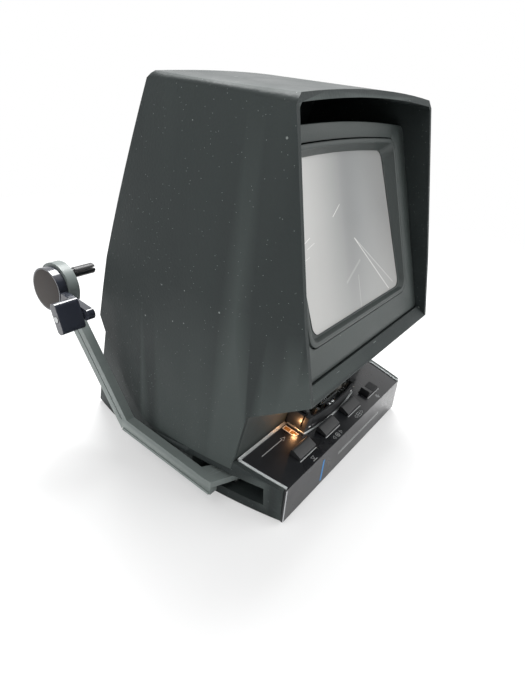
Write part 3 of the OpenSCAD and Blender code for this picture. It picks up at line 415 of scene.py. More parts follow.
# Optical glass of lenses and prism.
GLASS = Finish(
    "optical_glass", "#f4f8f8", "#ffffff", Relief.POLISHED, 0.03, grain=20.0, depth=0.0005, mottle=0.0,
    ior=1.52, clear=0.95,
)
# Lit bulb: hot glass.
BULB = Finish("lit_bulb_glass", "#ffb060", "#ffd9a8", Relief.POLISHED, 0.1, grain=5.0, depth=0.001, glow=6.0)
# Steatite lamp socket: off-white, dry.
CERAMIC = Finish("steatite_ceramic", "#d9d4c8", "#b8b2a4", Relief.SATIN, 0.55, grain=0.8, depth=0.01)
# Black nitrile rubber feet.
RUBBER = Finish("black_rubber", "#1c1c1c", "#4d4d4b", Relief.SATIN, 0.8, grain=0.5, depth=0.02, mottle=0.2)
# Matte black ABS of the film block and the keys: fine spark-eroded texture.
BLACK = Finish(
    "matte_black_abs", "#1a1b1d", "#5a5b5b", Relief.MOULDED_GRAIN, 0.42, grain=0.8, depth=0.015,
    mottle=0.08, dust=0.05, edge=0.3, specular=0.4,
)
# Navy-black gloss nylon of the cranks and grips.
NAVY = Finish(
    "navy_black_gloss_nylon", "#2a2d36", "#4d525c", Relief.POLISHED, 0.2, grain=5.0, depth=0.006,
    mottle=0.08, dust=0.04, edge=0.3, coat=0.6,
)
# Turned matte inlay on the outer face of a crank disc: dark brown-grey.
INLAY = Finish(
    "matte_brown_grey_inlay", "#332f2d", "#55504c", Relief.SATIN, 0.6, grain=0.6, depth=0.02, mottle=0.25,
    specular=0.3,
)
# Acetal rollers and sprocket, greyed by film dust.
ACETAL = Finish("dusty_grey_acetal", "#6c6a65", "#94918a", Relief.SATIN, 0.4, grain=2.0, depth=0.006)
# Silver screen-print ink on the panel: flat and slightly rough.
INK = Finish("silver_screen_print", "#b9bbbb", "#8d9090", Relief.SATIN, 0.45, grain=0.5, depth=0.004, mottle=0.3)
# Blue screen-print ink.
BLUE = Finish("blue_screen_print", "#1f7fc4", "#3f93cf", Relief.SATIN, 0.4, grain=0.5, depth=0.004, mottle=0.2)
# Pale frame printed round the lit windows: its warm tint and faint glow are painted light from the lamp behind.
WARM_INK = Finish("warm_lit_print", "#d6cdbc", "#c2a986", Relief.SATIN, 0.4, grain=0.5, depth=0.004, glow=0.04)
# Ribbed silver strip round the panel: satin, paler on its ribs.
TRIM = Finish("ribbed_silver_strip", "#a3a7a7", "#74787a", Relief.SATIN, 0.4, 0.6, grain=0.8, depth=0.004)
# Varnished transformer laminations.
CORE = Finish("varnished_laminations", "#3a3430", "#7a6a58", Relief.BRUSHED, 0.45, 0.6, grain=0.5, depth=0.03)

DRESS: dict[str, Finish] = {
    "shell": SHELL,
    "inner_shell": INNER,
    "fascia": FASCIA,
    "trim": CHROME,
    "amber": AMBER,
    "screen": SCREEN,
    "mirror": MIRROR,
    "bracket": BRACKET,
    "glass": GLASS,
    "lamp_glass": BULB,
    "ceramic": CERAMIC,
    "steel": STEEL,
    "brass": BRONZE,
    "rubber": RUBBER,
    "black_plastic": BLACK,
    "navy_plastic": NAVY,
    "white_plastic": ACETAL,
    "core": CORE,
}


@dataclass
class Bench:
    """Keeps the frame at hand and puts finished meshes on its bodies.

    Attributes:
        nodes: CAD objects by name.
        body_of: CAD body of each node.
        slot_of: material slot of each node.
    """

    nodes: dict[str, bpy.types.Object]
    body_of: dict[str, str]
    slot_of: dict[str, str]

    @classmethod
    def from_frame(cls, frame: dict) -> "Bench":
        """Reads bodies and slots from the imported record."""
        record = frame["record"]
        bodies = {node: body for body, nodes in record["behaviour"]["bodies"].items() for node in nodes}
        slots = {part["node"]: part["material_slot"] for part in record["subparts"]}
        return cls(frame["nodes"], bodies, slots)

    def dress(self, node: str, finish: Finish) -> None:
        """Gives a CAD node its finish."""
        data = self.nodes[node].data
        data.materials.clear()
        data.materials.append(finish.material())

    def mount(self, piece: bpy.types.Object, node: str, finish: Finish | None = None, hide: bool = True) -> None:
        """Puts a finished piece on the body of a CAD node, in the node's material slot.

        Args:
            piece: mesh object with its place in its mesh.
            node: the CAD node.
            finish: its finish, or None if its mesh holds materials already.
            hide: whether the piece replaces the node.
        """
        if finish is not None:
            piece.data.materials.clear()
            piece.data.materials.append(finish.material())
        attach(piece, self.body_of[node])
        if hide:
            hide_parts(node)
        LOG.info("%s rides on %s", piece.name, self.body_of[node])


def new_object(name: str, data: bpy.types.ID) -> bpy.types.Object:
    """Links a mesh, camera or light to the scene as an object at the origin."""
    piece = bpy.data.objects.new(name, data)
    bpy.context.scene.collection.objects.link(piece)
    return piece


def settle(piece: bpy.types.Object) -> bpy.types.Object:
    """Turns a piece with its modifiers into a plain mesh at the origin.

    Args:
        piece: object with live modifiers.

    Returns:
        The same object with the evaluated mesh.
    """
    graph = bpy.context.evaluated_depsgraph_get()
    graph.update()
    mesh = bpy.data.meshes.new_from_object(piece.evaluated_get(graph), preserve_all_data_layers=True, depsgraph=graph)
    piece.modifiers.clear()
    piece.data = mesh
    return piece


def shade(piece: bpy.types.Object, angle: float = 32.0) -> None:
    """Shades a mesh smooth with creases above an angle in degrees."""
    piece.data.shade_smooth()
    piece.data.set_sharp_from_angle(angle=math.radians(angle))


def face_outwards(mesh: bpy.types.Mesh) -> None:
    """Turns the faces of a closed mesh outwards."""
    form = bmesh.new()
    form.from_mesh(mesh)
    bmesh.ops.recalc_face_normals(form, faces=form.faces)
    form.to_mesh(mesh)
    form.free()


def skin(name: str, rings: list[list[Vector]], crease: float, round_trip: bool = False) -> bpy.types.Object:
    """Joins rings of points into one closed skin.

    Args:
        name: name of the piece.
        rings: points of each ring in metres, equally many, or one where the skin ends in a point.
        crease: edges turned more than this, in degrees, stay sharp.
        round_trip: joins the last ring to the first; otherwise open ends are capped.

    Returns:
        The mesh object.
    """
    starts = [sum(len(ring) for ring in rings[:k]) for k in range(len(rings))]
    loops = [[start + i for i in range(len(ring))] for start, ring in zip(starts, rings)]
    count = max(len(ring) for ring in rings)
    faces: list[list[int]] = []
    for one, two in zip(loops, loops[1:] + loops[:1] if round_trip else loops[1:]):
        for i in range(count):
            j = (i + 1) % count
            corners = [one[i % len(one)], one[j % len(one)], two[j % len(two)], two[i % len(two)]]
            faces.append(list(dict.fromkeys(corners)))
    if not round_trip:
        faces += [loop for loop in (loops[0], loops[-1]) if len(loop) > 1]
    mesh = bpy.data.meshes.new(name)
    mesh.from_pydata([point for ring in rings for point in ring], [], faces)
    face_outwards(mesh)
    piece = new_object(name, mesh)
    shade(piece, crease)
    return piece


def circle(count: int) -> list[Flat]:
    """Lists cosine and sine of evenly spread directions."""
    return [(math.cos(2 * math.pi * i / count), math.sin(2 * math.pi * i / count)) for i in range(count)]


@dataclass(frozen=True)
class SoftEdge:
    """Moulded or machined radius on the edges of a copy of a CAD node.

    Attributes:
        width: size of the rounding, in mm.
        segments: facets across it.
        angle: edges turned more than this, in degrees, are rounded.
    """

    width: float
    segments: int = 3
    angle: float = 26.0

    def copy_of(self, bench: Bench, node: str, name: str) -> bpy.types.Object:
        """Makes the rounded copy.

        Args:
            bench: the bench with the frame.
            node: CAD node to copy.
            name: name of the new piece.

        Returns:
            The plain mesh object, at the origin.
        """
        mesh = bench.nodes[node].data.copy()
        mesh.name = name
        form = bmesh.new()
        form.from_mesh(mesh)
        bmesh.ops.remove_doubles(form, verts=form.verts, dist=WELD)
        bmesh.ops.dissolve_degenerate(form, dist=WELD, edges=form.edges)
        bmesh.ops.dissolve_limit(
            form, angle_limit=math.radians(0.3), verts=form.verts, edges=form.edges, delimit=set()
        )
        form.to_mesh(mesh)
        form.free()
        for stale in [a.name for a in mesh.attributes if a.name.startswith("custom_normal")]:
            mesh.attributes.remove(mesh.attributes[stale])
        piece = new_object(name, mesh)
        shade(piece)
        bevel = piece.modifiers.new("edge", "BEVEL")
        bevel.width = self.width * MM
        bevel.segments = self.segments
        bevel.limit_method = "ANGLE"
        bevel.angle_limit = math.radians(self.angle)
        bevel.use_clamp_overlap = True
        settle(piece)
        shade(piece, 40.0)
        even = piece.modifiers.new("even", "WEIGHTED_NORMAL")
        even.mode = "FACE_AREA"
        even.weight = 50
        even.keep_sharp = True
        return settle(piece)


def run_nodes(piece: bpy.types.Object, tree: Tree, values: dict[str, object]) -> bpy.types.Object:
    """Runs a Geometry Nodes tree on a piece and keeps the plain result.

    Args:
        piece: object whose mesh feeds the tree.
        tree: the node group.
        values: value of each named input.

    Returns:
        The same object with the resulting mesh.
    """
    modifier = piece.modifiers.new("nodes", "NODES")
    modifier.node_group = tree
    for item in tree.interface.items_tree:
        if item.item_type == "SOCKET" and item.in_out == "INPUT" and item.name in values:
            modifier[item.identifier] = values[item.name]
    return settle(piece)


def new_tree(name: str, inputs: dict[str, tuple[str, object]]) -> tuple[Tree, dict[str, Socket]]:
    """Starts a Geometry Nodes tree with a mesh input and named sizes.

    Args:
        name: name of the tree.
        inputs: socket type and default value of each further input.

    Returns:
        The tree and its inputs by name.
    """
    tree = bpy.data.node_groups.new(name, "GeometryNodeTree")
    tree.interface.new_socket("Geometry", in_out="INPUT", socket_type="NodeSocketGeometry")
    for label, (kind, value) in inputs.items():
        socket = tree.interface.new_socket(label, in_out="INPUT", socket_type=f"NodeSocket{kind}")
        if value is not None:
            socket.default_value = value
    tree.interface.new_socket("Geometry", in_out="OUTPUT", socket_type="NodeSocketGeometry")
    given = add_node(tree, "NodeGroupInput").outputs
    return tree, {label: given[label] for label in ("Geometry", *inputs)}


def end_tree(tree: Tree, shape: Socket, material: Socket) -> None:
    """Realizes the instances, sets the material and closes the tree."""
    real = add_node(tree, "GeometryNodeRealizeInstances", {"Geometry": shape}).outputs["Geometry"]
    dressed = add_node(tree, "GeometryNodeSetMaterial", {"Geometry": real, "Material": material})
    add_node(tree, "NodeGroupOutput", {"Geometry": dressed.outputs["Geometry"]})


@dataclass
class Strip:
    """Thin strip swept along flat paths, plain or reeded with lengthwise ribs.

    Attributes:
        width: width across the path, in mm.
        height: full height, in mm.
        ribs: number of lengthwise ribs on the top.
        depth: depth of the grooves between them, in mm.
    """

    width: float
    height: float
    ribs: int = 0
    depth: float = 0.0

    def tree(self) -> Tree:
        """Builds the sweep once and returns it."""
        found = bpy.data.node_groups.get("strip_sweep")
        if found:
            return found
        tree, given = new_tree(
            "strip_sweep",
            {
                "Width": ("Float", 0.002),
                "Height": ("Float", 0.001),
                "Ribs": ("Float", 0.0),
                "Rib Depth": ("Float", 0.0),
                "Cuts": ("Int", 0),
                "Material": ("Material", None),
            },
        )
        path = add_node(tree, "GeometryNodeMeshToCurve", {"Mesh": given["Geometry"]}).outputs["Curve"]
        level = add_node(tree, "GeometryNodeSetCurveNormal", {"Curve": path}, mode="Z_UP").outputs["Curve"]
        size = {"Width": given["Width"], "Height": given["Height"]}
        outline = add_node(tree, "GeometryNodeCurvePrimitiveQuadrilateral", size).outputs["Curve"]
        cut = add_node(tree, "GeometryNodeSubdivideCurve", {"Curve": outline, "Cuts": given["Cuts"]}).outputs["Curve"]
        spot = add_node(tree, "ShaderNodeSeparateXYZ", {0: add_node(tree, "GeometryNodeInputPosition").outputs[0]})
        phase = maths(tree, "MULTIPLY", maths(tree, "DIVIDE", spot.outputs["X"], given["Width"]), given["Ribs"])
        wave = maths(tree, "SINE", maths(tree, "MULTIPLY", phase, math.pi))
        drop = maths(tree, "MULTIPLY", maths(tree, "ABSOLUTE", wave), given["Rib Depth"])
        move = maths(tree, "MULTIPLY", drop, maths(tree, "LESS_THAN", spot.outputs["Y"], 0.0))
        offset = add_node(tree, "ShaderNodeCombineXYZ", {"Y": move}).outputs["Vector"]
        section = add_node(tree, "GeometryNodeSetPosition", {"Geometry": cut, "Offset": offset}).outputs["Geometry"]
        sweep = {"Curve": level, "Profile Curve": section, "Fill Caps": True}
        end_tree(tree, add_node(tree, "GeometryNodeCurveToMesh", sweep).outputs["Mesh"], given["Material"])
        return tree

    def along(self, name: str, paths: list[list[Flat]], finish: Finish, place: Matrix, base: float) -> bpy.types.Object:
        """Sweeps the strip along flat paths.

        Args:
            name: name of the piece.
            paths: polylines in mm in their own plane; one is closed if its ends meet.
            finish: the finish.
            place: turns the plane to its place, in metres.
            base: height of the strip's underside over the plane, in mm.

        Returns:
            The plain mesh object at the origin.
        """
        points: list[Point] = []
        edges: list[tuple[int, int]] = []
        for path in paths:
            closed = path[0] == path[-1]
            dots = path[:-1] if closed else path
            first = len(points)
            points += [(x * MM, y * MM, (base + self.height / 2) * MM) for x, y in dots]
            edges += [(first + i, first + i + 1) for i in range(len(dots) - 1)]
            if closed:
                edges.append((first + len(dots) - 1, first))
        mesh = bpy.data.meshes.new(name)
        mesh.from_pydata(points, edges, [])
        values = {
            "Width": self.width * MM,
            "Height": self.height * MM,
            "Ribs": float(self.ribs),
            "Rib Depth": self.depth * MM,
            "Cuts": 8 * self.ribs - 1 if self.ribs else 0,
            "Material": finish.material(),
        }
        piece = run_nodes(new_object(name, mesh), self.tree(), values)
        piece.data.transform(place)
        face_outwards(piece.data)
        shade(piece, 30.0)
        return piece


def bend(corner: Flat, before: Flat, after: Flat, radius: float) -> list[Flat]:
    """Rounds one corner of a flat path.

    Args:
        corner: the corner.
        before: the point before it.
        after: the point after it.
        radius: distance from the corner at which the bend starts.

    Returns:
        Points of the bend.
    """
    start = Vector(corner) + (Vector(before) - Vector(corner)).normalized() * radius
    end = Vector(corner) + (Vector(after) - Vector(corner)).normalized() * radius
    middle = Vector(corner)
    steps = [i / 6 for i in range(7)]
    return [tuple(start * (1 - t) ** 2 + middle * (2 * t * (1 - t)) + end * t**2) for t in steps]


@dataclass
class CrankInlays:
    """Matte inlay on the outer face of each crank disc.

    Attributes:
        hub: Y and Z of the disc's middle, in mm.
        face: X of the disc's outer face.
        radius: radius of the inlay.
        rise: how far the inlay stands over the face.
        shoulder: share of the rise that is left at the inlay's rounded edge.
        sunk: depth of its hidden back behind the face.
    """

    hub: Flat = (96.115, 121.536)
    face: float = 124.4
    radius: float = 14.7
    rise: float = 0.3
    shoulder: float = 0.6
    sunk: float = 0.05

    def build(self, bench: Bench) -> None:
        """Turns both inlays from one profile."""
        section = (
            (0.0, self.rise),
            (self.radius - 0.8, self.rise),
            (self.radius - 0.2, self.shoulder * self.rise),
            (self.radius, 0.0),
            (0.0, -self.sunk),
        )
        y, z = self.hub
        for side, label in SIDES:
            rings = []
            for r, rise in section:
                ways = circle(64) if r else [(0.0, 0.0)]
                rings.append([Vector((side * (self.face + rise), y + r * c, z + r * s)) * MM for c, s in ways])
            bench.mount(skin(f"{label}_crank_inlay", rings, 30.0), f"{label}_crank", INLAY, hide=False)


@dataclass
class PressSpring:
    """Coil spring under the mark key.

    Attributes:
        radius: radius of the coil's middle line, in mm.
        wire: radius of the wire.
        height: length between the middles of the end turns.
        turns: number of turns, closed end turns included.
        keep: share of its length that is left at full press; not used.
    """

    radius: float = 2.6
    wire: float = 0.3
    height: float = 3.92
    turns: int = 6
    keep: float = 0.55

    def build(self, bench: Bench) -> None:
        """Sweeps the wire round its coil and ties it to the key's joint."""
        corners = bench.nodes["mark_spring"].data.vertices
        centre = sum((v.co for v in corners), Vector()) / len(corners)
        lean = Matrix.Rotation(math.radians(PANEL_SLOPE), 4, "X")
        steps = 28
        rings = []
        for k in range(steps * self.turns + 1):
            turn = 2 * math.pi * k / steps
            share = min(max((k / steps - 1) / (self.turns - 2), 0.0), 1.0)
            ring = []
            for c, s in circle(10):
                far, rise = self.radius + self.wire * c, self.height * (share - 0.5) + self.wire * s
                ring.append(centre + lean @ (Vector((far * math.cos(turn), far * math.sin(turn), rise)) * MM))
            rings.append(ring)
        piece = skin("mark_spring_coil", rings, 50.0)
        bench.mount(piece, "mark_spring", STEEL)
        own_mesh(piece)


@dataclass
class ShoulderRibs:
    """Rounded rib on each shoulder of the base, between the hood and the reel arm.

    Attributes:
        back: X, Y and Z of the rib's rear end, in mm, for the right side.
        front: the same of its front end.
        half_wide: half its width.
        half_high: half its height.
    """

    back: Point = (103.9, 14.0, 25.0)
    front: Point = (104.2, -29.0, 30.5)
    half_wide: float = 3.2
    half_high: float = 3.6

    def build(self, bench: Bench) -> None:
        """Lofts both ribs along their middle line with rounded ends."""
        cap = 6
        for side, label in SIDES:
            start, end = (Vector((side * x, y, z)) for x, y, z in (self.back, self.front))
            way = end - start
            angles = [math.pi / 2 * k / cap for k in range(cap + 1)]
            stations = [(self.half_high * (1 - math.cos(a)), math.sin(a)) for a in angles]
            stations += [(way.length - run, size) for run, size in reversed(stations)]
            rings = []
            for run, size in stations:
                middle = start + way.normalized() * run
                ways = circle(28) if size else [(0.0, 0.0)]
                offsets = [Vector((c * self.half_wide, 0, s * self.half_high)) * size for c, s in ways]
                rings.append([(middle + offset) * MM for offset in offsets])
            bench.mount(skin(f"{label}_shoulder_rib", rings, 60.0), "base_housing", SHELL, hide=False)


@dataclass
class Screws:
    """Pan-head screws with a cross recess, set on points by Geometry Nodes.

    Attributes:
        radius: radius of a head, in mm.
        height: height of a head, in mm.
        recess: length of each arm of the cross, in mm.
    """

    radius: float = 2.7
    height: float = 1.3
    recess: float = 3.2

    def tree(self) -> Tree:
        """Builds the tree once and returns it."""
        found = bpy.data.node_groups.get("screw_heads")
        if found:
            return found
        tree, given = new_tree(
            "screw_heads",
            {
                "Radius": ("Float", 0.0027),
                "Height": ("Float", 0.0013),
                "Recess": ("Float", 0.0032),
                "Seed": ("Int", 7),
                "Material": ("Material", None),
            },
        )
        radius, height, recess = given["Radius"], given["Height"], given["Recess"]
        drum = {"Vertices": 40, "Side Segments": 5, "Fill Segments": 4, "Radius": radius, "Depth": height}
        head = add_node(tree, "GeometryNodeMeshCylinder", drum).outputs["Mesh"]
        # The upper part falls towards its edge with the cube of the distance, by 0.4 of the height.
        position = add_node(tree, "GeometryNodeInputPosition").outputs[0]
        spot = add_node(tree, "ShaderNodeSeparateXYZ", {0: position})
        far = vectors(tree, "LENGTH", vectors(tree, "MULTIPLY", position, (1.0, 1.0, 0.0)))
        dome = maths(tree, "POWER", maths(tree, "DIVIDE", far, radius), 3.0)
        sink = maths(tree, "MULTIPLY", dome, maths(tree, "GREATER_THAN", spot.outputs["Z"], 0.0))
        drop = maths(tree, "MULTIPLY", sink, maths(tree, "MULTIPLY", height, -0.4))
        shift = add_node(tree, "ShaderNodeCombineXYZ", {"Z": drop}).outputs["Vector"]
        domed = add_node(tree, "GeometryNodeSetPosition", {"Geometry": head, "Offset": shift}).outputs["Geometry"]
        cut = add_node(tree, "GeometryNodeMeshBoolean", {"Mesh 1": domed}, operation="DIFFERENCE")
        # Two crossed blades sink into the top; each is about a quarter as wide as it is long.
        thin, raised = maths(tree, "MULTIPLY", recess, 0.26), maths(tree, "MULTIPLY", height, 0.45)
        lift = add_node(tree, "ShaderNodeCombineXYZ", {"Z": raised}).outputs["Vector"]
        for long, short in (("X", "Y"), ("Y", "X")):
            size = add_node(tree, "ShaderNodeCombineXYZ", {long: recess, short: thin, "Z": height}).outputs["Vector"]
            cube = add_node(tree, "GeometryNodeMeshCube", {"Size": size}).outputs["Mesh"]
            blade = add_node(tree, "GeometryNodeTransform", {"Geometry": cube, "Translation": lift})
            tree.links.new(blade.outputs["Geometry"], cut.inputs["Mesh 2"])
        aim = add_node(tree, "GeometryNodeInputNamedAttribute", {"Name": "aim"}, data_type="FLOAT_VECTOR")
        aimed = {"Vector": aim.outputs["Attribute"]}
        lean = add_node(tree, "FunctionNodeAlignRotationToVector", aimed, axis="Z").outputs["Rotation"]
        turn = add_node(
            tree, "FunctionNodeRandomValue", {2: 0.0, 3: 3.1, "Seed": given["Seed"]}, data_type="FLOAT"
        ).outputs[1]
        spin = add_node(tree, "FunctionNodeAxisAngleToRotation", {"Axis": (0.0, 0.0, 1.0), "Angle": turn})
        both = add_node(
            tree,
            "FunctionNodeRotateRotation",
            {"Rotation": lean, "Rotate By": spin.outputs["Rotation"]},
            rotation_space="LOCAL",
        )
        heads = {
            "Points": given["Geometry"],
            "Instance": cut.outputs["Mesh"],
            "Rotation": both.outputs["Rotation"],
        }
        end_tree(tree, add_node(tree, "GeometryNodeInstanceOnPoints", heads).outputs["Instances"], given["Material"])
        return tree

    def build(self, bench: Bench, node: str, finish: Finish, way: Vector) -> None:
        """Puts a head on each screw of a CAD node and hides the node.

        Args:
            bench: the bench with the frame.
            node: CAD node whose loose parts are screws.
            finish: finish of the heads.
            way: outward direction of the screws.
        """
        form = bmesh.new()
        form.from_mesh(bench.nodes[node].data)
        bmesh.ops.remove_doubles(form, verts=form.verts, dist=WELD)
        left = dict.fromkeys(form.verts)
        tops: list[Vector] = []
        while left:
            todo, part = [left.popitem()[0]], []
            while todo:
                vertex = todo.pop()
                part.append(vertex.co.copy())
                for edge in vertex.link_edges:
                    other = edge.other_vert(vertex)
                    if other in left:
                        left.pop(other)
                        todo.append(other)
            reach = max(p.dot(way) for p in part)
            cap = [p for p in part if p.dot(way) > reach - 0.3 * MM]
            tops.append(sum(cap, Vector()) / len(cap) - way * (self.height / 2) * MM)
        form.free()
        mesh = bpy.data.meshes.new(f"{node}_heads")
        mesh.from_pydata(tops, [], [])
        aim = mesh.attributes.new("aim", "FLOAT_VECTOR", "POINT")
        for point in aim.data:
            point.vector = way
        values = {"Radius": self.radius * MM, "Height": self.height * MM, "Recess": self.recess * MM}
        piece = new_object(f"{node}_heads", mesh)
        run_nodes(piece, self.tree(), values | {"Material": finish.material()})
        shade(piece, 35.0)
        LOG.info("%s: %d heads", node, len(tops))
        bench.mount(piece, node)


def rear_way() -> Vector:
    """Gives the outward direction of the rear wall at its screws."""
    low, high = (Vector(corner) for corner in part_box("rear_cover"))
    return Vector((0.0, high.z - low.z, high.y - low.y)).normalized()


@dataclass
class Ring:
    """One turn of a frame's section: a rounded opening with a bowed upper edge.

    Attributes:
        half: half width, in mm.
        low: height of the lower edge.
        high: height of the upper edge at its middle.
        corner: radius of the corners.
        deep: distance behind the plane.
        arch: how much the upper edge falls towards its ends.
    """

    half: float
    low: float
    high: float
    corner: float
    deep: float
    arch: float = 2.4

    def points(self) -> list[Point]:
        """Lists the ring's points in its own plane, 8 steps to a corner and 15 along the top and bottom."""
        span = self.half - self.corner
        corners = ((span, self.low + self.corner), (span, self.high - self.corner))
        corners += tuple((-x, z) for x, z in reversed(corners))
        flat: list[Flat] = []
        for way, (x, z) in enumerate(corners):
            for i in range(9):
                angle = math.radians(-90 + 90 * way + 90 * i / 8)
                flat.append((x + self.corner * math.cos(angle), z + self.corner * math.sin(angle)))
            if way in (1, 3):
                side, edge = (1, self.high) if way == 1 else (-1, self.low)
                flat += [(side * (span - 2 * span * i / 15), edge) for i in range(1, 15)]
        rise = self.high - self.low
        return [(x, self.deep, z - self.arch * (x / self.half) ** 2 * max(0.0, (z - self.low) / rise)) for x, z in flat]


@dataclass
class ScreenFrame:
    """Mask and bezel round the screen, moulded with bowed upper edges and rounded corners.

    Attributes:
        rim: Y and Z of the hood's lower front edge, in mm.
        rim_lean: lean of the hood's front plane, in degrees.
        set_back: distance of the mask behind that plane, in mm.
        mask_lean: further lean of the mask, in degrees.
        screen_lean: further lean of the screen, in degrees.
        half: half width of the visible screen, in mm.
        low: height of its lower edge over the rim.
        high: height of its upper edge over the rim.
        border: width of the bezel beside the screen.
        edge: half width of the mask.
    """

    rim: Flat = (-114.0, 101.2)
    rim_lean: float = 11.8
    set_back: float = 8.0
    mask_lean: float = 5.5
    screen_lean: float = 8.4
    half: float = 68.0
    low: float = 33.0
    high: float = 140.1
    border: float = 9.4
    edge: float = 96.3

    def plane(self, back: float, lean: float) -> Matrix:
        """Gives a plane behind the hood's front, in metres."""
        return (
            Matrix.Translation((0, self.rim[0] * MM, self.rim[1] * MM))
            @ Matrix.Rotation(math.radians(-self.rim_lean), 4, "X")
            @ Matrix.Translation((0, back * MM, 0))
            @ Matrix.Rotation(math.radians(-lean), 4, "X")
        )

    def build(self, bench: Bench) -> None:
        """Makes the bezel and the mask, each from rings in order round its section."""
        mask = self.plane(self.set_back, self.mask_lean)
        screen = self.plane(self.set_back + 0.8, self.screen_lean)
        half, out, low, high = self.half, self.half + self.border, self.low - 5.9, self.high + 5.9
        bezel = [
            (Ring(out, low, high, 9.0, 12.5), mask),
            (Ring(out, low, high, 9.0, 0.0), mask),
            (Ring(out - 0.25, low + 0.25, high - 0.25, 8.8, -0.55), mask),
            (Ring(out - 0.8, low + 0.8, high - 0.8, 8.4, -0.8), mask),
            (Ring(out - 2.9, low + 2.6, high - 2.6, 7.6, -0.8), mask),
            (Ring(out - 3.5, low + 3.0, high - 3.0, 7.3, -0.55), mask),
            (Ring(out - 3.8, low + 3.2, high - 3.2, 7.2, 0.1), mask),
            (Ring(half + 0.9, self.low + 0.7, self.high - 0.3, 7.2, 6.3), mask),
            (Ring(half, self.low, self.high - 0.6, 7.0, -0.5), screen),
            (Ring(half, self.low, self.high - 0.6, 7.0, 0.05), screen),
            (Ring(half + 3.4, self.low - 2.4, self.high + 2.4, 7.0, 0.05), screen),
        ]
        edge, foot, top = self.edge, self.low - 25.3, self.high + 16.6
        gap, gap_low, gap_high = out + 0.7, low - 0.7, high + 0.7
        plate = [
            (Ring(edge, foot, top, 4.0, 2.0, 4.2), mask),
            (Ring(edge, foot, top, 4.0, 0.4, 4.2), mask),
            (Ring(edge - 0.4, foot + 0.4, top - 0.4, 4.0, 0.0, 4.2), mask),
            (Ring(gap + 0.7, gap_low - 0.7, gap_high + 0.7, 9.6, 0.0), mask),
            (Ring(gap + 0.15, gap_low - 0.15, gap_high + 0.15, 9.3, 0.35), mask),
            (Ring(gap, gap_low, gap_high, 9.2, 0.9), mask),
            (Ring(gap, gap_low, gap_high, 9.2, 2.0), mask),
        ]
        for node, turns in (("screen_bezel", bezel), ("screen_mask", plate)):
            rings = [[plane @ (Vector(p) * MM) for p in ring.points()] for ring, plane in turns]
            bench.mount(skin(f"{node}_moulding", rings, 35.0, round_trip=True), node, INNER)


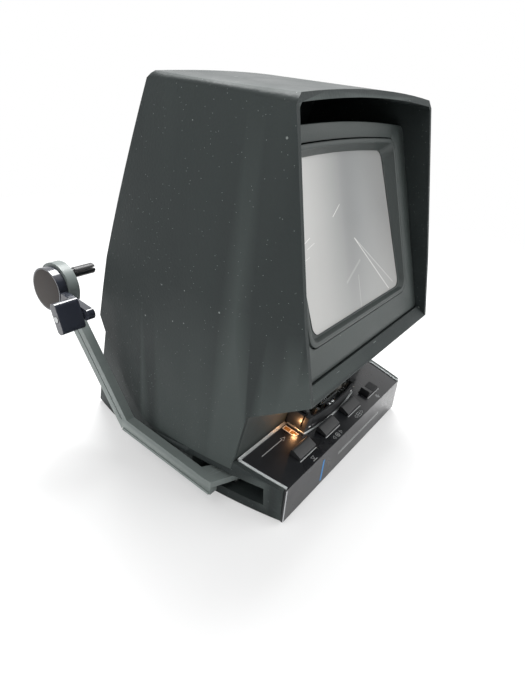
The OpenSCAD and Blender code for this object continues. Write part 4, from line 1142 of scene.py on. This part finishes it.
@dataclass
class Panel:
    """Trim, print and lit frames on the sloped panel and its upright front.

    Sizes are in mm; the panel's own frame starts at its front edge, X to the right and Y up the slope.

    Attributes:
        front: Y of the front face.
        height: Z of the panel's front edge.
        depth: length of the slope.
        inset: distance from the body's side to the trim's outer edge.
        block_half: half width of the film block.
        bow_at: slope distance of the block's bowed front.
        bow_radius: radius of the bow.
        keys: X of the four keys.
        windows: X of the two lit windows.
        trim: strip along the sides and the back.
        block_trim: strip round the film block.
        gap: distance between that strip and the block.
        lift: distance of both strips from the panel.
    """

    front: float = -105.0
    height: float = 31.5
    depth: float = 39.7
    inset: float = 3.5
    block_half: float = 39.5
    bow_at: float = 19.2
    bow_radius: float = 244.0
    keys: tuple[float, ...] = (-55.5, -18.5, 18.5, 55.5)
    windows: tuple[float, ...] = (-46.2, 46.2)
    trim: Strip = field(default_factory=lambda: Strip(2.2, 0.62, 4, 0.2))
    block_trim: Strip = field(default_factory=lambda: Strip(1.25, 0.62, 2, 0.18))
    gap: float = 0.3
    lift: float = 0.03

    def place(self) -> Matrix:
        """Turns the panel's frame into the body's, in metres."""
        tilt = Matrix.Rotation(math.radians(PANEL_SLOPE), 4, "X")
        return Matrix.Translation((0, self.front * MM, self.height * MM)) @ tilt

    def upright(self) -> Matrix:
        """Turns a drawing with Z as its second axis onto the front face."""
        return Matrix.Translation((0, self.front * MM, 0)) @ Matrix.Rotation(math.radians(90), 4, "X")

    def side_x(self, along: float, inset: float) -> float:
        """Gives the bowed side's X at a slope distance."""
        off = self.front + along * math.cos(math.radians(PANEL_SLOPE)) - WIDEST
        return BODY_HALF - inset - (SIDE_BOW - math.sqrt(SIDE_BOW**2 - off**2))

    def bow_y(self, x: float, inset: float) -> float:
        """Gives the slope distance of the block's bowed front at an X."""
        return self.bow_at - inset + self.bow_radius - math.sqrt(self.bow_radius**2 - x**2)

    def outer_path(self, side: int) -> list[Flat]:
        """Path of the trim along one side edge and along the back to the film block."""
        inset = self.inset + self.trim.width / 2
        back = self.depth - 0.2 - self.trim.width / 2
        path = [(side * self.side_x(y, inset), y) for y in (0.9, 8, 16, 24, 32)]
        corner = (side * self.side_x(back, inset), back)
        end = (side * (self.block_half + 1.9), back)
        return path + bend(corner, path[-1], end, 1.0) + [end]

    def block_path(self) -> list[Flat]:
        """Path of the trim round the film block."""
        off = self.gap + self.block_trim.width / 2
        out, back = self.block_half + off, self.depth - 2.4
        xs = [-out + 2 * out * i / 24 for i in range(25)]
        bow = [(x, self.bow_y(x, off)) for x in xs]
        left = bend(bow[0], (-out, back), bow[1], 0.8)
        right = bend(bow[-1], bow[-2], (out, back), 0.8)
        return [(-out, back)] + left + bow[1:-1] + right + [(out, back)]

    def pictograms(self) -> list[list[Flat]]:
        """Generic marks in front of the keys: a punch, a lens, a frame and a lamp, with ways to push."""
        # Place of the row up the slope; the other sizes are those of the marks themselves.
        y = 3.4
        mark, focus, frame, lamp = self.keys

        def ring(x: float, r: float, count: int) -> list[Flat]:
            """Draws a closed ring in the row of marks."""
            dots = [(x + r * c, y + r * s) for c, s in circle(count)]
            return dots + dots[:1]

        left, right, foot, top = frame - 2.3, frame + 2.3, y - 1.7, y + 1.7
        strokes = [
            [(mark - 1.7, y + 1.5), (mark + 1.7, y + 1.5), (mark, y - 0.9), (mark - 1.7, y + 1.5)],
            [(mark - 2.6, foot), (mark + 2.6, foot)],
            ring(focus, 1.8, 20),
            ring(focus, 0.6, 12),
            [(left, foot), (right, foot), (right, top), (left, top), (left, foot)],
            [(left, y), (right, y)],
            ring(lamp, 1.0, 14),
        ]
        strokes += [[(lamp + r * c, y + r * s) for r in (1.4, 2.2)] for c, s in circle(8)]
        for x in (focus, frame):
            for side in (-1, 1):
                tip, back = x + side * 6.6, x + side * 4.2
                strokes.append([(back, y + 1.5), (tip, y), (back, y - 1.5), (back, y + 1.5)])
        return strokes

    def window_frames(self) -> list[list[Flat]]:
        """Frame round each lit window, with its bar between the two film sizes."""
        low, bar, high, half = 24.6, 30.4, 36.2, 2.2
        frames = []
        for x in self.windows:
            left, right = x - half, x + half
            frames.append([(left, low), (right, low), (right, high), (left, high), (left, low)])
            frames.append([(left, bar), (right, bar)])
        return frames

    def build(self, bench: Bench) -> None:
        """Makes the trim, the print and the front's lines."""
        flat, up = self.place(), self.upright()
        bars = [[(x - 11.2, 7.75), (x + 11.2, 7.75)] for x in self.keys]
        arrow = [[(-84.0, 29.6), (-58.5, 29.6)], [(-58.8, 31.2), (-54.8, 29.6), (-58.8, 28.0), (-58.8, 31.2)]]
        stripes = [[(-18.5, z), (57.0, z)] for z in (16.4, 14.9)]
        for name, strip, paths, finish, place, base in (
            ("panel_trim_left", self.trim, [self.outer_path(-1)], TRIM, flat, self.lift),
            ("panel_trim_right", self.trim, [self.outer_path(1)], TRIM, flat, self.lift),
            ("block_trim", self.block_trim, [self.block_path()], TRIM, flat, self.lift),
            ("key_lines", Strip(0.75, 0.07), bars, INK, flat, 0.0),
            ("key_pictograms", Strip(0.45, 0.07), self.pictograms(), INK, flat, 0.0),
            ("selector_arrow", Strip(0.5, 0.07), arrow, INK, flat, 0.0),
            ("window_frames", Strip(0.75, 0.1), self.window_frames(), WARM_INK, flat, 0.16),
            ("front_blue_bar", Strip(2.3, 0.07), [[(-43.4, 24.6), (-44.4, 5.6)]], BLUE, up, 0.0),
            ("front_pinstripes", Strip(0.5, 0.07), stripes, INK, up, 0.0),
            ("front_edge_strip", Strip(1.0, 0.35), [[(-95.3, 2.9), (-95.3, 30.9)]], CHROME, up, -0.15),
        ):
            # The three trim strips take the place of the CAD's plain one; the rest only goes with it.
            bench.mount(strip.along(name, paths, finish, place, base), "trim_frame", hide=finish is TRIM)


@dataclass(frozen=True)
class Bow:
    """One bowed face of the body: part of a wide cylinder.

    Attributes:
        frame: place of the cylinder, in mm, with its axis along its own Z.
        radius: its radius, in mm.
    """

    frame: Matrix
    radius: float

    def normal(self, point: Vector) -> Vector:
        """Gives the outward direction at a point in metres."""
        own = self.frame.inverted() @ (point / MM)
        return (self.frame.to_3x3() @ Vector((own.x, own.y, 0))).normalized()

    def offset(self, point: Vector) -> float:
        """Gives the distance between a point in metres and the face, in mm."""
        own = self.frame.inverted() @ (point / MM)
        return abs(math.hypot(own.x, own.y) - self.radius)


@dataclass
class Body:
    """The bowed faces of hood and base, in mm, so that they shade without facets.

    Attributes:
        lean_height: height above which the sides lean inwards.
        lean: that lean, in degrees.
        seam: height below which the base's sides lean inwards.
        draft: that lean, in degrees.
        top_y: Y of the top's reference line.
        top_z: its height.
        top_rise: slope of the top to the back, in degrees.
        crown: radius of the top's bow.
        recess: how far the recessed faces lie behind the outer ones.
        near: a face this close to a bow belongs to it.
        tilt: a face turned less than this from the bow belongs to it, in radians.
        blend: faces turned less than this from the bow shade into it, in degrees.
    """

    lean_height: float = 150.0
    lean: float = 3.9
    seam: float = 33.0
    draft: float = 7.47
    top_y: float = -80.0
    top_z: float = 268.5
    top_rise: float = 2.0
    crown: float = 1091.25
    recess: float = 7.0
    near: float = 1.2
    tilt: float = 0.1
    blend: float = 48.0

    def bows(self) -> list[Bow]:
        """Lists the faces."""

        def turn(degrees: float, axis: str) -> Matrix:
            """Gives a turn about one axis."""
            return Matrix.Rotation(math.radians(degrees), 4, axis)

        faces = []
        for side in (-1, 1):
            for height, tilt in ((100.0, 0.0), (self.lean_height, self.lean), (self.seam, -self.draft)):
                frame = (
                    Matrix.Translation((side * BODY_HALF, 0, height))
                    @ turn(-side * tilt, "Y")
                    @ Matrix.Translation((-side * SIDE_BOW, WIDEST, 0))
                )
                faces.append(Bow(frame, SIDE_BOW))
        top = (
            Matrix.Translation((0, self.top_y, self.top_z))
            @ turn(self.top_rise, "X")
            @ Matrix.Translation((0, 0, -self.crown))
            @ turn(-90, "X")
        )
        faces.append(Bow(top, self.crown))
        return faces

    def fits(self, bow: Bow, face: bpy.types.MeshPolygon) -> bool:
        """Tells whether a face lies on a bow or on the recess behind it."""
        off = bow.offset(face.center)
        beside = off < self.near or abs(off - self.recess) < self.near
        return beside and bow.normal(face.center).angle(face.normal) < self.tilt

    def smooth(self, piece: bpy.types.Object) -> None:
        """Turns a piece's shading to that of the real bowed faces and blends the creases between them."""
        mesh = piece.data
        bows = self.bows()
        kept: dict[int, Bow] = {}
        for face in mesh.polygons:
            near = [b for b in bows if self.fits(b, face)]
            if near:
                kept[face.index] = min(near, key=lambda b: b.normal(face.center).angle(face.normal))
        around: dict[int, list[Vector]] = {}
        for index, bow in kept.items():
            for vertex in mesh.polygons[index].vertices:
                around.setdefault(vertex, []).append(bow.normal(mesh.vertices[vertex].co))
        normals = [corner.vector.copy() for corner in mesh.corner_normals]
        for face in mesh.polygons:
            bow = kept.get(face.index)
            for corner, vertex in zip(face.loop_indices, face.vertices):
                if bow:
                    normals[corner] = bow.normal(mesh.vertices[vertex].co)
                elif vertex in around:
                    best = min(around[vertex], key=lambda n: n.angle(face.normal))
                    if best.angle(face.normal) < math.radians(self.blend):
                        normals[corner] = best
        mesh.normals_split_custom_set(normals)


@dataclass
class Mouldings:
    """Moulded and pressed parts whose CAD edges get their real radius.

    Attributes:
        bowed: nodes that also shade as bowed faces.
        finishes: finish of a node where it differs from its slot's.
        radii: rounding of each node's edges.
    """

    bowed: tuple[str, ...] = ("hood_shell", "base_housing")
    finishes: dict[str, Finish] = field(
        default_factory=lambda: {"left_arm": ARM, "right_arm": ARM, "left_crank": NAVY, "right_crank": NAVY}
    )
    radii: dict[str, SoftEdge] = field(
        default_factory=lambda: {
            "hood_shell": SoftEdge(1.5, 3, 52.0),
            "base_housing": SoftEdge(1.0),
            "rear_cover": SoftEdge(0.5),
            "throat_panel": SoftEdge(0.4),
            "fascia_panel": SoftEdge(0.35),
            "film_gate": SoftEdge(0.4),
            "gate_flap": SoftEdge(0.4),
            "mark_button": SoftEdge(0.5),
            "focus_slider": SoftEdge(0.5),
            "frame_slider": SoftEdge(0.5),
            "lamp_rocker": SoftEdge(0.5),
            "left_arm": SoftEdge(0.9),
            "right_arm": SoftEdge(0.9),
            "left_crank": SoftEdge(0.5),
            "right_crank": SoftEdge(0.5),
            "left_grip": SoftEdge(2.2, 5),
            "right_grip": SoftEdge(2.2, 5),
            "left_spindle": SoftEdge(0.3, 2),
            "right_spindle": SoftEdge(0.3, 2),
            "rubber_feet": SoftEdge(0.8),
            "mains_inlet": SoftEdge(0.4),
        }
    )

    def build(self, bench: Bench) -> None:
        """Makes a rounded copy of each listed node and hides the node."""
        for node, edge in self.radii.items():
            piece = edge.copy_of(bench, node, f"{node}_moulding")
            if node in self.bowed:
                Body().smooth(piece)
            bench.mount(piece, node, self.finishes.get(node, DRESS[bench.slot_of[node]]))


@dataclass
class Studio:
    """Pale floor, plain soft light and the camera at the picture's viewing angle.

    Attributes:
        focal: focal length in pixels of a 525 by 700 picture.
        centre: principal point in the same pixels.
        azimuth: heading of the view, in degrees from +Y towards -X.
        elevation: downward tilt of the view, in degrees.
        roll: turn of the picture about the line of sight, in degrees.
        station: place of the camera, in mm.
        aim: the place that the lamps look at, in metres.
        lamps: name, place and side in metres and power in watts of each soft square lamp.
        leak: place, in metres, where the viewer's own bulb shines out beside the film block.
    """

    focal: float = 516.761
    centre: Flat = (261.203, 352.577)
    azimuth: float = -56.9692
    elevation: float = 27.8905
    roll: float = -5.4516
    station: Point = (-326.44, -224.70, 269.05)
    aim: Point = (0.0, 0.0, 0.12)
    lamps: tuple[tuple[str, Point, float, float], ...] = (
        ("key", (0.55, -0.95, 0.85), 0.9, 9.0),
        ("top", (0.38, 0.3, 1.15), 0.6, 21.0),
        ("left", (-0.85, 0.05, 0.95), 0.8, 5.0),
    )
    leak: Point = (-0.0405, -0.079, 0.0445)

    def camera(self) -> None:
        """Places the camera."""
        wide, tall = 525.0, 700.0
        data = bpy.data.cameras.new("viewpoint")
        data.sensor_width = 36.0
        data.lens = self.focal * data.sensor_width / tall
        data.shift_x = (wide / 2 - self.centre[0]) / tall
        data.shift_y = (self.centre[1] - tall / 2) / tall
        data.clip_start, data.clip_end = 0.01, 60.0
        az, el, roll = (math.radians(v) for v in (self.azimuth, self.elevation, self.roll))
        ahead = Vector((-math.sin(az) * math.cos(el), math.cos(az) * math.cos(el), -math.sin(el)))
        right = ahead.cross(Vector((0, 0, 1))).normalized()
        down = ahead.cross(right)
        across = right * math.cos(roll) + down * math.sin(roll)
        below = down * math.cos(roll) - right * math.sin(roll)
        matrix = Matrix((across, -below, -ahead)).transposed().to_4x4()
        matrix.translation = Vector(self.station) * MM
        camera = new_object("viewpoint", data)
        camera.matrix_world = matrix
        bpy.context.scene.camera = camera

    def floor(self) -> None:
        """Lays a wide pale floor that fades to white far from the object."""
        reach = 30.0
        mesh = bpy.data.meshes.new("floor")
        corners = [(-reach, -reach, 0), (reach, -reach, 0), (reach, reach, 0), (-reach, reach, 0)]
        mesh.from_pydata(corners, [], [(0, 1, 2, 3)])
        paper = bpy.data.materials.new("white_paper_floor")
        paper.use_nodes = True
        tree = paper.node_tree
        tree.nodes.clear()
        far = vectors(tree, "LENGTH", add_node(tree, "ShaderNodeTexCoord").outputs["Object"])
        fade = remap(tree, far, 0.25, 0.9, 0.45, 1.0)
        seen = maths(tree, "MULTIPLY", add_node(tree, "ShaderNodeLightPath").outputs["Is Camera Ray"], fade)
        matte = add_node(tree, "ShaderNodeBsdfDiffuse", {"Color": srgb("#f2f2f2")}).outputs["BSDF"]
        glow = add_node(tree, "ShaderNodeEmission", {"Color": (1, 1, 1, 1), "Strength": 1.0}).outputs["Emission"]
        both = add_node(tree, "ShaderNodeMixShader", {0: seen, 1: matte, 2: glow}).outputs["Shader"]
        add_node(tree, "ShaderNodeOutputMaterial", {"Surface": both})
        mesh.materials.append(paper)
        new_object("floor", mesh)

    def sky(self) -> None:
        """Makes the world white to the eye and in reflections, and soft grey as a light."""
        world = bpy.data.worlds.new("studio")
        bpy.context.scene.world = world
        world.use_nodes = True
        tree = world.node_tree
        tree.nodes.clear()
        rays = add_node(tree, "ShaderNodeLightPath").outputs
        seen = maths(tree, "MAXIMUM", rays["Is Camera Ray"], rays["Is Transmission Ray"])
        bright = maths(tree, "MAXIMUM", seen, rays["Is Glossy Ray"])
        light = {"Color": (1, 1, 1, 1), "Strength": remap(tree, bright, 0.0, 1.0, 0.42, 1.0)}
        white = add_node(tree, "ShaderNodeBackground", light)
        add_node(tree, "ShaderNodeOutputWorld", {"Surface": white.outputs["Background"]})

    def lights(self) -> None:
        """Hangs the soft lamps and lights the viewer's own bulb beside the film block."""
        for name, place, size, power in self.lamps:
            data = bpy.data.lights.new(name, "AREA")
            data.size = size
            data.energy = power
            lamp = new_object(name, data)
            lamp.location = place
            lamp.rotation_euler = (Vector(self.aim) - Vector(place)).to_track_quat("-Z", "Y").to_euler()
        data = bpy.data.lights.new("bulb_leak", "POINT")
        data.color = (1.0, 0.5, 0.22)
        data.energy = 0.008
        data.shadow_soft_size = 0.002
        glow = new_object("bulb_leak", data)
        glow.location = self.leak
        glow.visible_camera = False

    def build(self) -> None:
        """Sets up the whole studio."""
        bpy.context.scene.view_settings.view_transform = "Standard"
        self.camera()
        self.floor()
        self.sky()
        self.lights()


def main() -> None:
    """Builds every group in order."""
    logging.basicConfig(level=logging.INFO, format="%(name)s: %(message)s")
    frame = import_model()
    bench = Bench.from_frame(frame)
    for node, slot in bench.slot_of.items():
        bench.dress(node, DRESS[slot])
    Mouldings().build(bench)
    ScreenFrame().build(bench)
    CrankInlays().build(bench)
    ShoulderRibs().build(bench)
    PressSpring().build(bench)
    Screws().build(bench, "base_screws", STEEL, Vector((0, 0, -1)))
    Screws(2.5, 1.25, 3.0).build(bench, "rear_screws", STEEL, rear_way())
    Panel().build(bench)
    Studio().build()


if __name__ == "__main__":
    main()
